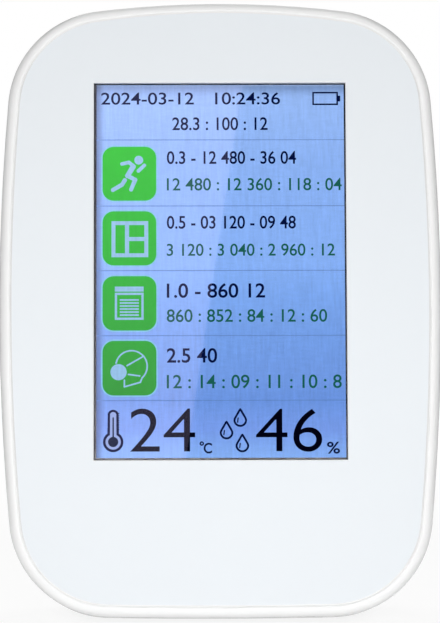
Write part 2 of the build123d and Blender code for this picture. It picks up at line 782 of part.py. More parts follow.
# ---- Particle sensor's case: box with the fan's duct, motor spider, air ports and laser cradle ----
with BuildPart() as particle_sensor_case:
    with BuildSketch(layer(sensor_case_front)):
        with Locations((0, sensor_middle)):
            RectangleRounded(sensor_width, sensor_height, sensor_corner)
    extrude(amount=sensor_case_front - sensor_rear)
    with BuildSketch(layer(sensor_case_front)):
        with Locations((0, sensor_middle)):
            Rectangle(sensor_width - 2 * sensor_wall, sensor_height - 2 * sensor_wall)
    extrude(amount=sensor_case_front - sensor_rear_wall, mode=Mode.SUBTRACT)
    with BuildSketch(layer(duct_front)):
        with Locations((fan_x, sensor_middle)):
            Circle(duct_radius + duct_wall)
    extrude(amount=-duct_length)
    with BuildSketch(layer(motor_front)):
        with Locations((fan_x, sensor_middle)):
            Circle(duct_radius)
    extrude(amount=motor_front - sensor_rear, mode=Mode.SUBTRACT)
    with BuildSketch(layer(duct_front)):
        with Locations((fan_x, sensor_middle)):
            Circle(duct_radius)
            Circle(motor_base_radius, mode=Mode.SUBTRACT)
            with PolarLocations(0, spider_arms):
                edge = (Align.MIN, Align.CENTER)
                Rectangle(duct_radius, spider_arm_width, align=edge, mode=Mode.SUBTRACT)
    extrude(amount=-spider_thickness, mode=Mode.SUBTRACT)
    with BuildSketch(layer(sensor_rear)):
        with Locations((port_x, sensor_middle)):
            with GridLocations(1, port_pitch, 1, port_count):
                Rectangle(port_width, port_height)
    extrude(amount=sensor_wall, mode=Mode.SUBTRACT)
    with BuildSketch(layer(laser_depth)):
        with Locations((laser_x, sensor_middle + laser_rise)):
            Rectangle(laser_length - 2 * laser_flange, 2 * (laser_radius + sensor_wall))
    extrude(amount=laser_depth - sensor_rear_wall)
    with BuildSketch(flank(laser_x - laser_length)):
        with Locations((laser_depth, sensor_middle + laser_rise)):
            Circle(laser_radius + laser_gap)
    extrude(amount=2 * laser_length, mode=Mode.SUBTRACT)
    with BuildSketch(shelf(sensor_foot)):
        with Locations((sensor_plug_x, (sensor_board_front + sensor_board_rear) / 2)):
            Rectangle(sensor_plug_width + 2 * ribbon_gap, ribbon_thickness + 2 * ribbon_gap)
    extrude(amount=sensor_wall, mode=Mode.SUBTRACT)
save(particle_sensor_case.part, "particle_sensor_case")

with BuildPart() as particle_sensor_lid:
    with BuildSketch(layer(sensor_front)):
        with Locations((0, sensor_middle)):
            RectangleRounded(sensor_width, sensor_height, sensor_corner)
    extrude(amount=-sensor_lid)
    with BuildSketch(layer(sensor_case_front)):
        with Locations((0, sensor_middle)):
            post_span = sensor_board_width - 2 * sensor_post_inset
            post_rise = sensor_board_height - 2 * sensor_post_inset
            with GridLocations(post_span, post_rise, 2, 2):
                Circle(sensor_post_radius)
    extrude(amount=-sensor_board_standoff)
save(particle_sensor_lid.part, "particle_sensor_lid")

with BuildPart() as sensor_board:
    with BuildSketch(layer(sensor_board_front)):
        with Locations((0, sensor_middle)):
            Rectangle(sensor_board_width, sensor_board_height)
    extrude(amount=-sensor_board_thickness)
save(sensor_board.part, "sensor_board")

with BuildPart() as laser_diode:
    with BuildSketch(flank(laser_x - laser_length / 2)):
        with Locations((laser_depth, sensor_middle + laser_rise)):
            Circle(laser_radius)
    extrude(amount=laser_length)
    with BuildSketch(flank(laser_x + laser_length / 2 - laser_flange)):
        with Locations((laser_depth, sensor_middle + laser_rise)):
            Circle(laser_radius + sensor_wall / 2)
    extrude(amount=laser_flange)
    with BuildSketch(flank(laser_x - laser_length / 2)):
        with Locations((laser_depth, sensor_middle + laser_rise)):
            Circle(laser_radius / 3)
    extrude(amount=laser_flange, mode=Mode.SUBTRACT)
save(laser_diode.part, "laser_diode")

with BuildPart() as photodiode:
    with BuildSketch(layer(sensor_board_rear)):
        with Locations((laser_x - laser_length, sensor_middle)):
            Rectangle(photodiode_size, photodiode_size)
    extrude(amount=-photodiode_thickness)
    with BuildSketch(layer(sensor_board_rear + photodiode_thickness)):
        with Locations((laser_x - laser_length, sensor_middle)):
            Circle(photodiode_size / 3)
    extrude(amount=-photodiode_thickness / 4)
save(photodiode.part, "photodiode")

with BuildPart() as sensor_gasket:
    with BuildSketch(layer(sensor_rear)):
        with Locations((0, sensor_middle)):
            RectangleRounded(sensor_width, sensor_height, sensor_corner)
        with Locations((fan_x, sensor_middle)):
            Circle(duct_radius, mode=Mode.SUBTRACT)
        with Locations((port_x, sensor_middle)):
            port_reach = port_pitch * (port_count - 1) + port_height
            Rectangle(port_width, port_reach, mode=Mode.SUBTRACT)
    extrude(amount=-sensor_gasket_thickness)
save(sensor_gasket.part, "sensor_gasket")

sensor_board_core = (sensor_board_front + sensor_board_rear) / 2
with BuildPart() as sensor_ribbon:
    with BuildSketch(flank(sensor_plug_x - sensor_plug_width / 2)):
        with BuildLine():
            ribbon_path = FilletPolyline(
                (board_rear + plug_depth, plug_row_height),
                (sensor_board_core, plug_row_height),
                (sensor_board_core, sensor_middle - sensor_board_height / 2),
                radius=ribbon_bend,
            )
        trace(ribbon_path, ribbon_thickness)
    extrude(amount=sensor_plug_width)
save(sensor_ribbon.part, "sensor_ribbon")

# ---- Fan: motor with its sleeve on the spider, and the rotor with a cup hub and twisted blades ----
with BuildPart() as fan_motor:
    motor_steps = (
        (motor_front, motor_rear, motor_base_radius),
        (motor_rear, hub_floor - sleeve_gap, sleeve_radius),
        (motor_rear + stator_gap, motor_rear + stator_gap + stator_length, stator_radius),
    )
    for step_front, step_rear, step_radius in motor_steps:
        with BuildSketch(layer(step_front)):
            with Locations((fan_x, sensor_middle)):
                Circle(step_radius)
        extrude(amount=step_front - step_rear)
    with BuildSketch(layer(motor_rear)):
        with Locations((fan_x, sensor_middle)):
            Circle(shaft_radius + shaft_gap)
    extrude(amount=-hub_length, mode=Mode.SUBTRACT)
save(fan_motor.part, "fan_motor")

with BuildPart() as fan_rotor:
    with BuildSketch(layer(hub_front)):
        with Locations((fan_x, sensor_middle)):
            Circle(hub_radius)
    extrude(amount=-hub_length)
    fillet(fan_rotor.faces().sort_by(forward)[0].edges(), hub_wall)
    for blade in range(blade_count):
        turn = 2 * pi * blade / blade_count
        outward = face_plane.x_dir * cos(turn) + face_plane.y_dir * sin(turn)
        middle = face_plane.from_local_coords((fan_x, sensor_middle, -(hub_front + hub_rear) / 2))
        sections = (
            (blade_root, blade_root_chord, blade_root_pitch),
            (blade_tip, blade_tip_chord, blade_tip_pitch),
        )
        for section_radius, chord, pitch in sections:
            section_plane = Plane(middle + outward * section_radius, x_dir=-face_plane.z_dir, z_dir=outward)
            with BuildSketch(section_plane):
                SlotOverall(chord, blade_thickness, rotation=pitch)
        loft()
    with BuildSketch(layer(hub_front)):
        with Locations((fan_x, sensor_middle)):
            Circle(hub_radius - hub_wall)
    extrude(amount=hub_front - hub_floor, mode=Mode.SUBTRACT)
    with BuildSketch(layer(hub_floor)):
        with Locations((fan_x, sensor_middle)):
            Circle(shaft_radius)
    extrude(amount=hub_length - hub_wall - shaft_radius / 2)
save(fan_rotor.part, "fan_rotor")

# ---- Temperature and humidity sensor on the board, beside the air slots ----
with BuildPart() as climate_sensor:
    with BuildSketch(layer(board_rear)):
        with Locations((climate_x, climate_height)):
            Rectangle(climate_size, climate_size)
    extrude(amount=-climate_thickness)
    with BuildSketch(layer(board_rear + climate_thickness)):
        with Locations((climate_x, climate_height)):
            Circle(climate_size / 5)
    extrude(amount=climate_thickness / 2, mode=Mode.SUBTRACT)
save(climate_sensor.part, "climate_sensor")

# ---- Screws: pan heads with a cross recess ----
screw_sets = (
    ("housing_screws", post_points, post_meet + post_floor, screw_radius, screw_head_radius,
     screw_head_height, post_floor + screw_engagement),
    ("board_screws", board_boss_points, board_rear, board_screw_radius, board_screw_head_radius,
     board_screw_head_height, board_thickness + board_screw_engagement),
)
for screw_name, points, seat, shank_radius, head_radius, head_height, length in screw_sets:
    with BuildPart() as screws:
        with BuildSketch(layer(seat)):
            with Locations(*points):
                Circle(head_radius)
        extrude(amount=-head_height)
        fillet(screws.faces().group_by(forward)[0].edges(), head_height / 2)
        with BuildSketch(layer(seat)):
            with Locations(*points):
                Circle(shank_radius)
        extrude(amount=length)
        chamfer(screws.faces().group_by(forward)[-1].edges(), shank_radius / 3)
        with BuildSketch(layer(seat + head_height)):
            with Locations(*points):
                Rectangle(cross_width, head_radius)
                Rectangle(head_radius, cross_width)
        extrude(amount=cross_depth, mode=Mode.SUBTRACT)
    save(screws.part, screw_name)
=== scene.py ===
import json
import math

import bmesh
import bpy
from mathutils import Matrix, Vector

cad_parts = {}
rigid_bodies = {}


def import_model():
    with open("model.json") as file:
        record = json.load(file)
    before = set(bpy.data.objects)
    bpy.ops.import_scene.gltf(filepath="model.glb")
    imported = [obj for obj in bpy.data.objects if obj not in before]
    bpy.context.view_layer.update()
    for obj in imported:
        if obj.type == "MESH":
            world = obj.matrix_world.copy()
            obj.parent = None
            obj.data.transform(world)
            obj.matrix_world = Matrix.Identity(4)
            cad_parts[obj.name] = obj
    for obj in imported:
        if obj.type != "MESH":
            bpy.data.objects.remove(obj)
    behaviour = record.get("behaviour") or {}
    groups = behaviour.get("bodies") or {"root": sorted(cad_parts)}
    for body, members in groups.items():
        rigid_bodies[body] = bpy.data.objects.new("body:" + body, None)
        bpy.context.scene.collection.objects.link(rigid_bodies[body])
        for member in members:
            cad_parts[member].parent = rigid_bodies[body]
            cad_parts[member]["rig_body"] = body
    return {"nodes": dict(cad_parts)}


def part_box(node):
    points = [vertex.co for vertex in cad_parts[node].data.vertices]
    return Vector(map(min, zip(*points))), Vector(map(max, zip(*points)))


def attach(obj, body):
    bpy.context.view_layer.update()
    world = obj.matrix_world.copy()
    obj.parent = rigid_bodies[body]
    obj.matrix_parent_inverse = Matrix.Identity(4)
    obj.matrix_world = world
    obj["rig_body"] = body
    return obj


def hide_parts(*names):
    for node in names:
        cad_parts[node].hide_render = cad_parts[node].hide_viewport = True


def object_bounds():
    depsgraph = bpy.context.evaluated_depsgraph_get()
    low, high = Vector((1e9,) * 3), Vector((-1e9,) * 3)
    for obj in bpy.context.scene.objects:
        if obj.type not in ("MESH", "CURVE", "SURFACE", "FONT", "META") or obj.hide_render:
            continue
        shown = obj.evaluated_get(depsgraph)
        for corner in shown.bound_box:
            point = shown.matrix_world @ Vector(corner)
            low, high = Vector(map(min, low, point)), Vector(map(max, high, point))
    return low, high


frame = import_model()
cad_low, cad_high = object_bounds()
scene = bpy.context.scene
scene.view_settings.view_transform = "Standard"


# ---- Camera ----
# A long lens about 0.68 m in front of the counter, a little above its middle and turned
# slightly to its side, so that the leaning face narrows a little towards the top.
CAMERA_DISTANCE = 0.675
CAMERA_AIM = Vector((0.000098, 0.0, 0.060189))
CAMERA_RISE = math.radians(1.716)
CAMERA_TURN = math.radians(-0.596)
CAMERA_ROLL = math.radians(-0.112)
LENS = 193.48
SENSOR_WIDTH = 36
NEAREST_SEEN = 0.01

line_of_sight = Vector((0, math.cos(CAMERA_RISE), -math.sin(CAMERA_RISE)))
camera = bpy.data.objects.new("camera", bpy.data.cameras.new("camera"))
camera.data.lens = LENS
camera.data.sensor_width = SENSOR_WIDTH
camera.data.clip_start = NEAREST_SEEN
camera.matrix_world = (
    Matrix.Rotation(CAMERA_TURN, 4, "Z")
    @ Matrix.Translation(CAMERA_AIM - line_of_sight * CAMERA_DISTANCE)
    @ Matrix.Rotation(math.radians(90) - CAMERA_RISE, 4, "X")
    @ Matrix.Rotation(CAMERA_ROLL, 4, "Z")
)
scene.collection.objects.link(camera)
scene.camera = camera


# ---- The leaning face ----
# The counter leans back 8 degrees, and its front is laid out on that plane: x to the right,
# y up the face and z towards the reader, in millimetres from the foot of the outline.
LEAN = math.radians(8)
UP_THE_FACE = Vector((0, math.sin(LEAN), math.cos(LEAN)))
INTO_THE_FACE = Vector((0, math.cos(LEAN), -math.sin(LEAN)))
GLASS_THICKNESS = 0.0011
GLASS_FOOT = 0.02865
GLASS_DEPTH = 0.00135
MILLIMETRE = 0.001

glass_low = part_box("touch_panel")[0]
FACE_FOOT = (
    Vector((0, glass_low.y, glass_low.z + GLASS_THICKNESS * math.sin(LEAN)))
    - UP_THE_FACE * GLASS_FOOT
    - INTO_THE_FACE * GLASS_DEPTH
)
FACE = (
    Matrix.Translation(FACE_FOOT)
    @ Matrix.Rotation(math.radians(90) - LEAN, 4, "X")
    @ Matrix.Scale(MILLIMETRE, 4)
)


# ---- Studio floor and backdrop ----
# A pale table under the counter and an even white room round it. Seen directly, in gloss or
# through glass they are white, and the table keeps the counter's soft shadow.
ROOM_LIGHT = 0.20
FLOOR_COLOUR = (0.8, 0.8, 0.8)
FLOOR_WHITE = 1.12
FLOOR_WHITENESS = (0.76, 0.93)
FLOOR_FADE = (0.15, 0.90)
FLOOR_ROUGHNESS = 0.9
FLOOR_REACH = 6.0


def add_seen_white(tree):
    """Adds up the rays that look at a surface, rather than light something with it."""
    path = tree.nodes.new("ShaderNodeLightPath")
    looked_at = tree.nodes.new("ShaderNodeMath")
    looked_at.operation = "ADD"
    seen = tree.nodes.new("ShaderNodeMath")
    seen.operation = "ADD"
    seen.use_clamp = True
    tree.links.new(path.outputs["Is Camera Ray"], looked_at.inputs[0])
    tree.links.new(path.outputs["Is Glossy Ray"], looked_at.inputs[1])
    tree.links.new(looked_at.outputs[0], seen.inputs[0])
    tree.links.new(path.outputs["Is Transmission Ray"], seen.inputs[1])
    return seen.outputs[0]


room = bpy.data.worlds.new("room")
room.use_nodes = True
tree = room.node_tree
tree.nodes.clear()
dim_room = tree.nodes.new("ShaderNodeBackground")
dim_room.inputs["Color"].default_value = (1, 1, 1, 1)
dim_room.inputs["Strength"].default_value = ROOM_LIGHT
white_room = tree.nodes.new("ShaderNodeBackground")
white_room.inputs["Color"].default_value = (1, 1, 1, 1)
white_room.inputs["Strength"].default_value = 1.0
room_mix = tree.nodes.new("ShaderNodeMixShader")
room_out = tree.nodes.new("ShaderNodeOutputWorld")
tree.links.new(add_seen_white(tree), room_mix.inputs["Fac"])
tree.links.new(dim_room.outputs[0], room_mix.inputs[1])
tree.links.new(white_room.outputs[0], room_mix.inputs[2])
tree.links.new(room_mix.outputs[0], room_out.inputs["Surface"])
scene.world = room

table_finish = bpy.data.materials.new("studio_table")
table_finish.use_nodes = True
tree = table_finish.node_tree
table_shader = tree.nodes["Principled BSDF"]
table_shader.inputs["Base Color"].default_value = (*FLOOR_COLOUR, 1)
table_shader.inputs["Roughness"].default_value = FLOOR_ROUGHNESS
table_shader.inputs["Specular IOR Level"].default_value = 0.0
table_white = tree.nodes.new("ShaderNodeEmission")
table_white.inputs["Strength"].default_value = FLOOR_WHITE
table_share = tree.nodes.new("ShaderNodeMath")
table_share.operation = "MULTIPLY"
table_place = tree.nodes.new("ShaderNodeTexCoord")
table_reach = tree.nodes.new("ShaderNodeVectorMath")
table_reach.operation = "LENGTH"
table_fade = tree.nodes.new("ShaderNodeMapRange")
for socket, value in zip(table_fade.inputs[1:5], (*FLOOR_FADE, *FLOOR_WHITENESS)):
    socket.default_value = value
tree.links.new(table_place.outputs["Object"], table_reach.inputs[0])
tree.links.new(table_reach.outputs["Value"], table_fade.inputs["Value"])
tree.links.new(table_fade.outputs["Result"], table_share.inputs[1])
table_mix = tree.nodes.new("ShaderNodeMixShader")
tree.links.new(add_seen_white(tree), table_share.inputs[0])
tree.links.new(table_share.outputs[0], table_mix.inputs["Fac"])
tree.links.new(table_shader.outputs[0], table_mix.inputs[1])
tree.links.new(table_white.outputs[0], table_mix.inputs[2])
tree.links.new(table_mix.outputs[0], tree.nodes["Material Output"].inputs["Surface"])


def piece_from(form, name, finish):
    """Makes a finished shape a piece of its own, and lets go of the shape."""
    mesh = bpy.data.meshes.new(name)
    form.to_mesh(mesh)
    form.free()
    mesh.materials.append(finish)
    piece = bpy.data.objects.new(name, mesh)
    scene.collection.objects.link(piece)
    return piece


form = bmesh.new()
bmesh.ops.create_grid(form, x_segments=1, y_segments=1, size=FLOOR_REACH)
piece_from(form, "studio_table", table_finish)


# ---- Studio lamps ----
# One broad soft lamp in front, one over the table, a low one close before the foot and one
# behind each side, so the rim is bright towards the reader and falls off to its outer edge.
def add_lamp(name, place, aim, wide, tall, power):
    """Hangs a soft rectangular lamp and turns it to what it lights."""
    lamp = bpy.data.lights.new(name, "AREA")
    lamp.shape = "RECTANGLE"
    lamp.size = wide
    lamp.size_y = tall
    lamp.energy = power
    holder = bpy.data.objects.new(name, lamp)
    holder.location = place
    holder.rotation_euler = (Vector(aim) - Vector(place)).to_track_quat("-Z", "Y").to_euler()
    holder.visible_camera = False
    holder.visible_glossy = False
    scene.collection.objects.link(holder)


add_lamp("front_lamp", (0.0, -1.5, 0.20), (0, 0, 0.055), 0.7, 0.4, 11.7)
add_lamp("top_lamp", (0.0, -0.2, 1.1), (0, 0, 0.05), 0.7, 0.5, 1.15)
add_lamp("low_lamp", (0.0, -0.17, 0.008), (0, -0.02, 0.02), 0.14, 0.10, 0.105)
for side, lamp_name in ((-1, "back_left_lamp"), (1, "back_right_lamp")):
    add_lamp(lamp_name, (side * 1.0, 1.25, 0.6), (0, 0, 0.05), 0.9, 0.7, 9.5)


# ---- Studio cards ----
# A bright card stands where the left part of the glass mirrors it, with a slanting edge, and
# a black card beside it keeps the right part of the glass clear. Only gloss sees them.
GLARE_TOP = Vector((4.52, 105.58))
GLARE_FOOT = Vector((-6.85, 30.96))
GLARE_COLOUR = (0.42, 0.38, 0.58)
CARD_LEFT = -40.0
CARD_RIGHT = 34.0
CARD_RUN_ON = 12.0
CARD_REACH = 1.1


def stand_card(name, corners, colour):
    """Stands a flat card on its four corners, which only glossy rays see."""
    card_finish = bpy.data.materials.new(name)
    card_finish.use_nodes = True
    shader = card_finish.node_tree.nodes["Principled BSDF"]
    shader.inputs["Base Color"].default_value = (0, 0, 0, 1)
    shader.inputs["Specular IOR Level"].default_value = 0.0
    shader.inputs["Emission Color"].default_value = (*colour, 1)
    shader.inputs["Emission Strength"].default_value = 1.0
    form = bmesh.new()
    form.faces.new([form.verts.new(corner) for corner in corners])
    card = piece_from(form, name, card_finish)
    card.visible_camera = False
    card.visible_diffuse = False
    card.visible_shadow = False


def mirrored(across, up):
    """Where the line from the camera's mirror image through a point of the glass comes out."""
    glass_point = FACE @ Vector((across, up, -GLASS_DEPTH / MILLIMETRE))
    eye = camera.matrix_world.translation
    behind = eye + INTO_THE_FACE * (2 * (glass_point - eye).dot(INTO_THE_FACE))
    return glass_point + (glass_point - behind) * CARD_REACH


glare_edge = (GLARE_TOP - GLARE_FOOT) / (GLARE_TOP.y - GLARE_FOOT.y)
edge_head = GLARE_TOP + glare_edge * CARD_RUN_ON
edge_foot = GLARE_FOOT - glare_edge * CARD_RUN_ON
for card_name, outer_side, card_colour in (
    ("bright_card", CARD_LEFT, GLARE_COLOUR),
    ("black_card", CARD_RIGHT, (0, 0, 0)),
):
    stand_card(
        card_name,
        (
            mirrored(edge_foot.x, edge_foot.y),
            mirrored(edge_head.x, edge_head.y),
            mirrored(outer_side, edge_head.y),
            mirrored(outer_side, edge_foot.y),
        ),
        card_colour,
    )

# A dim card stands beyond each side, for the rim's outer edge to mirror.
SIDE_CARD_TONE = (0.08, 0.08, 0.08)
for side, card_name in ((-1, "left_card"), (1, "right_card")):
    stand_card(
        card_name,
        (
            (side * 0.30, -0.25, 0.0005),
            (side * 0.09, 1.3, 0.0005),
            (side * 0.09, 1.3, 0.6),
            (side * 0.30, -0.25, 0.6),
        ),
        SIDE_CARD_TONE,
    )


# ---- Front housing ----
# The front half of the case, injection moulded in white ABS as one shell with a glossy rolled
# rim. The front panel sits in its recess, and the rear cover is screwed to its posts.
HOUSING_WHITE = (0.95, 0.95, 0.947)
FLOW_SCALE = 38.0
FLECK_SCALE = 900.0
FLECK_SHARE = 0.3
GLOSS_SWAY = 1.5
GRAIN_DEPTH = 0.00002
WELD = 0.000001


def group_of_nodes(name, numbers, colours, outputs):
    """Starts a shader group with its named sockets, and returns it with both its ends."""
    group = bpy.data.node_groups.new(name, "ShaderNodeTree")
    for colour in colours:
        group.interface.new_socket(colour, in_out="INPUT", socket_type="NodeSocketColor")
    for number in numbers:
        group.interface.new_socket(number, in_out="INPUT", socket_type="NodeSocketFloat")
    for output, kind in outputs:
        group.interface.new_socket(output, in_out="OUTPUT", socket_type=kind)
    return group, group.nodes.new("NodeGroupInput"), group.nodes.new("NodeGroupOutput")


def give(tree, socket, term):
    """Gives a socket its term: another socket, a plain number or a colour."""
    if isinstance(term, (int, float, tuple)):
        socket.default_value = term
    else:
        tree.links.new(term, socket)


def add_noise(tree, where, scale, detail=2.0):
    """Adds a noise texture read at a place, with a fixed scale or a linked one."""
    noise = tree.nodes.new("ShaderNodeTexNoise")
    noise.inputs["Detail"].default_value = detail
    give(tree, noise.inputs["Vector"], where)
    give(tree, noise.inputs["Scale"], scale)
    return noise.outputs["Fac"]


def add_math(tree, operation, first, second):
    """Adds one sum, whose terms are sockets or plain numbers."""
    node = tree.nodes.new("ShaderNodeMath")
    node.operation = operation
    give(tree, node.inputs[0], first)
    give(tree, node.inputs[1], second)
    return node.outputs[0]


def add_blend(tree, share, first, second, blend="MIX"):
    """Adds a colour mix. A colour mix keeps its colours in sockets 6, 7 and, as result, 2."""
    node = tree.nodes.new("ShaderNodeMix")
    node.data_type = "RGBA"
    node.blend_type = blend
    give(tree, node.inputs[0], share)
    give(tree, node.inputs[6], first)
    give(tree, node.inputs[7], second)
    return node.outputs[2]


def add_sway(tree, noise, amount):
    """Centres a noise about nothing and gives it its amount."""
    return add_math(tree, "MULTIPLY", add_math(tree, "SUBTRACT", noise, 0.5), amount)


def add_shaded(tree, colour, unevenness):
    """Makes a colour lighter and darker by an unevenness about nothing."""
    return add_blend(tree, 1.0, colour, add_math(tree, "ADD", unevenness, 1.0), "MULTIPLY")


# Moulded plastic: broad soft unevenness from the flow of the melt in colour and gloss, and
# the fine texture of the tool's surface.
moulded_skin, given, made = group_of_nodes(
    "moulded_skin",
    ("Variation", "Roughness", "Grain"),
    ("Colour",),
    (("Colour", "NodeSocketColor"), ("Roughness", "NodeSocketFloat"), ("Height", "NodeSocketFloat")),
)
where = moulded_skin.nodes.new("ShaderNodeTexCoord").outputs["Object"]
flow = add_noise(moulded_skin, where, FLOW_SCALE, 3.0)
uneven = add_sway(moulded_skin, flow, given.outputs["Variation"])
gloss = add_math(moulded_skin, "MULTIPLY", uneven, GLOSS_SWAY)
fleck = add_noise(moulded_skin, where, FLECK_SCALE)
fleck = add_math(moulded_skin, "MULTIPLY", fleck, FLECK_SHARE)
grain = add_noise(moulded_skin, where, given.outputs["Grain"], 3.0)
give(moulded_skin, made.inputs["Colour"], add_shaded(moulded_skin, given.outputs["Colour"], uneven))
give(
    moulded_skin,
    made.inputs["Roughness"],
    add_math(moulded_skin, "ADD", gloss, given.outputs["Roughness"]),
)
give(moulded_skin, made.inputs["Height"], add_math(moulded_skin, "ADD", fleck, grain))


def new_finish(name):
    """A new material with its shader."""
    material = bpy.data.materials.new(name)
    material.use_nodes = True
    return material, material.node_tree, material.node_tree.nodes["Principled BSDF"]


def use_group(tree, shader, group, values, depth, strength):
    """Places a shader group in a material with its own values, and links what it gives."""
    node = tree.nodes.new("ShaderNodeGroup")
    node.node_tree = group
    for name, value in values.items():
        node.inputs[name].default_value = (*value, 1) if isinstance(value, tuple) else value
    tree.links.new(node.outputs["Colour"], shader.inputs["Base Color"])
    tree.links.new(node.outputs["Roughness"], shader.inputs["Roughness"])
    bump = tree.nodes.new("ShaderNodeBump")
    bump.inputs["Distance"].default_value = depth
    bump.inputs["Strength"].default_value = strength
    tree.links.new(node.outputs["Height"], bump.inputs["Height"])
    tree.links.new(bump.outputs["Normal"], shader.inputs["Normal"])


def moulded_finish(name, colour, roughness, grain=2600.0, variation=0.03, strength=0.1):
    """A moulded plastic or rubber, from its colour, gloss and tool texture."""
    material, tree, shader = new_finish(name)
    use_group(
        tree,
        shader,
        moulded_skin,
        {"Colour": colour, "Variation": variation, "Roughness": roughness, "Grain": grain},
        GRAIN_DEPTH,
        strength,
    )
    shader.inputs["IOR"].default_value = 1.5
    return material


def smooth_copy(node_name, finish, corner=32.0):
    """A merged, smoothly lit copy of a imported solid, sharp only past the corner's degrees."""
    solid = frame["nodes"][node_name]
    form = bmesh.new()
    form.from_mesh(solid.data)
    bmesh.ops.remove_doubles(form, verts=form.verts, dist=WELD)
    for face in form.faces:
        face.smooth = True
        face.material_index = 0
    for edge in form.edges:
        edge.smooth = edge.calc_face_angle(0.0) < math.radians(corner)
    piece = piece_from(form, node_name + "_skin", finish)
    attributes = piece.data.attributes
    if "custom_normal" in attributes:
        attributes.remove(attributes["custom_normal"])
    even = piece.modifiers.new("even_light", "WEIGHTED_NORMAL")
    even.keep_sharp = True
    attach(piece, solid["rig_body"])
    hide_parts(node_name)
    return piece


housing_finish = moulded_finish(
    "housing_plastic", HOUSING_WHITE, 0.24, variation=0.02, strength=0.05
)
housing = smooth_copy("front_housing", housing_finish)

# The rim's crown is rolled rounder over its width, as the polished tool leaves it. It is cut
# into even bands first, so that each long facet follows the new round. Sizes on the face are
# in millimetres.
RIM_RADIUS = 5.0
RIM_FALL = 4.176
RIM_EDGE = 0.3
RIM_LEAST_DEPTH = 0.03
RIM_LEAST_LEAN = 0.03
RIM_MOST_LEAN = 0.9
NEAR_FOOT = 0.02
ROLL_RADIUS = 2.3
ROLL_BANDS = 9
FACE_MIDDLE = Vector((0, 61.0, 0))
OUTWARD_LEAST = 0.3
CREST_HEIGHT = 0.0015
CREST_EASE = 0.14
to_face = FACE.inverted()


def faces_out(face, place):
    """Whether a face is turned to the outside of the case, seen from the face's middle."""
    away = Vector((place.x - FACE_MIDDLE.x, place.y - FACE_MIDDLE.y, 0))
    return face.normal.dot((FACE.to_3x3() @ away).normalized()) > OUTWARD_LEAST


def is_rim(face):
    """Whether a face is on the outside of the rim, between the front and the upright sides."""
    place = to_face @ face.calc_center_median()
    leaning = -face.normal.dot(INTO_THE_FACE)
    is_leaning = RIM_LEAST_LEAN < leaning < RIM_MOST_LEAN
    return is_leaning and -place.z < RIM_FALL and faces_out(face, place)


def round_inset(radius, below_crest):
    """How far a round of a radius has come in from its outer line, so far below its crest."""
    return radius - math.sqrt(radius**2 - below_crest**2)


def foot_on_run(point, start, end):
    """The nearest point of a straight run."""
    along = end - start
    share = (point - start).dot(along) / max(along.dot(along), WELD)
    return start + along * min(max(share, 0.0), 1.0)


form = bmesh.new()
form.from_mesh(housing.data)
for band in range(ROLL_BANDS):
    lean = math.radians(90) * (band + 0.5) / ROLL_BANDS
    inset = ROLL_RADIUS * (1 - math.sin(lean))
    fall = RIM_FALL - math.sqrt(RIM_RADIUS**2 - (RIM_RADIUS - inset) ** 2)
    rim = [face for face in form.faces if is_rim(face)]
    rim_edges = {edge for face in rim for edge in face.edges}
    rim_verts = {vert for face in rim for vert in face.verts}
    bmesh.ops.bisect_plane(
        form,
        geom=[*rim, *rim_edges, *rim_verts],
        dist=WELD,
        plane_co=FACE @ Vector((0, 0, -fall)),
        plane_no=INTO_THE_FACE,
    )
form.normal_update()

# The outline that the rim falls to, as straight runs in order round the face.
outline = []
for vert in form.verts:
    place = to_face @ vert.co
    at_foot = abs(place.z + RIM_FALL) < NEAR_FOOT
    if at_foot and any(faces_out(face, place) for face in vert.link_faces):
        outline.append(Vector((place.x, place.y, 0)))
outline.sort(key=lambda point: math.atan2(point.y - FACE_MIDDLE.y, point.x - FACE_MIDDLE.x))
runs = list(zip(outline, outline[1:] + outline[:1]))

# Each point of the rim goes to its own distance inside the outline, and up on to the round.
for vert in {vert for face in form.faces if is_rim(face) for vert in face.verts}:
    place = to_face @ vert.co
    depth = -place.z
    if not RIM_LEAST_DEPTH < depth < RIM_FALL - NEAR_FOOT / 2:
        continue
    inset = round_inset(RIM_RADIUS, RIM_FALL - depth)
    if depth > RIM_EDGE:
        flat = Vector((place.x, place.y, 0))
        feet = [foot_on_run(flat, *run) for run in runs]
        foot = min(feet, key=lambda point: (point - flat).length)
        flat = foot + (flat - foot).normalized() * inset
        place.x, place.y = flat.x, flat.y
    place.z = -round_inset(ROLL_RADIUS, max(ROLL_RADIUS - inset, 0.0))
    vert.co = FACE @ place

# The crest is eased down over its last millimetre and a half, to stay within the case's height.
for vert in form.verts:
    over = vert.co.z - (cad_high[2] - CREST_HEIGHT)
    if over > 0:
        vert.co.z -= over * CREST_EASE
bmesh.ops.triangulate(form, faces=[face for face in form.faces if len(face.verts) > 4])
form.to_mesh(housing.data)
form.free()


# ---- Rear cover ----
# The back half of the case, a deep shell moulded in the same white ABS with its intake
# grille, side vents and screw wells. Its skin has the light texture of a spark-eroded tool.
cover_finish = moulded_finish(
    "cover_plastic", (0.88, 0.88, 0.875), 0.38, grain=1500.0, variation=0.03, strength=0.22
)
smooth_copy("rear_cover", cover_finish)


# ---- Front panel ----
# A satin white plate of polycarbonate bonded into the front housing's recess, cut out for
# the display, with a fine bevelled edge round the window.
# The tool's polished steps leave the edges glossier than the face, and the edges are also coloured
# lighter than the face: a painted highlight.
PANEL_STEP_LEAN = math.radians(7)


def gloss_and_highlight_steps(piece, finish):
    """Gives the bevels of a plate, which neither face the reader nor stand upright, a glossier finish in
    a lighter colour, a painted highlight.
    """
    piece.data.materials.append(finish)
    for face in piece.data.polygons:
        outward = -face.normal.dot(INTO_THE_FACE)
        if math.sin(PANEL_STEP_LEAN) < outward < math.cos(PANEL_STEP_LEAN):
            face.material_index = 1


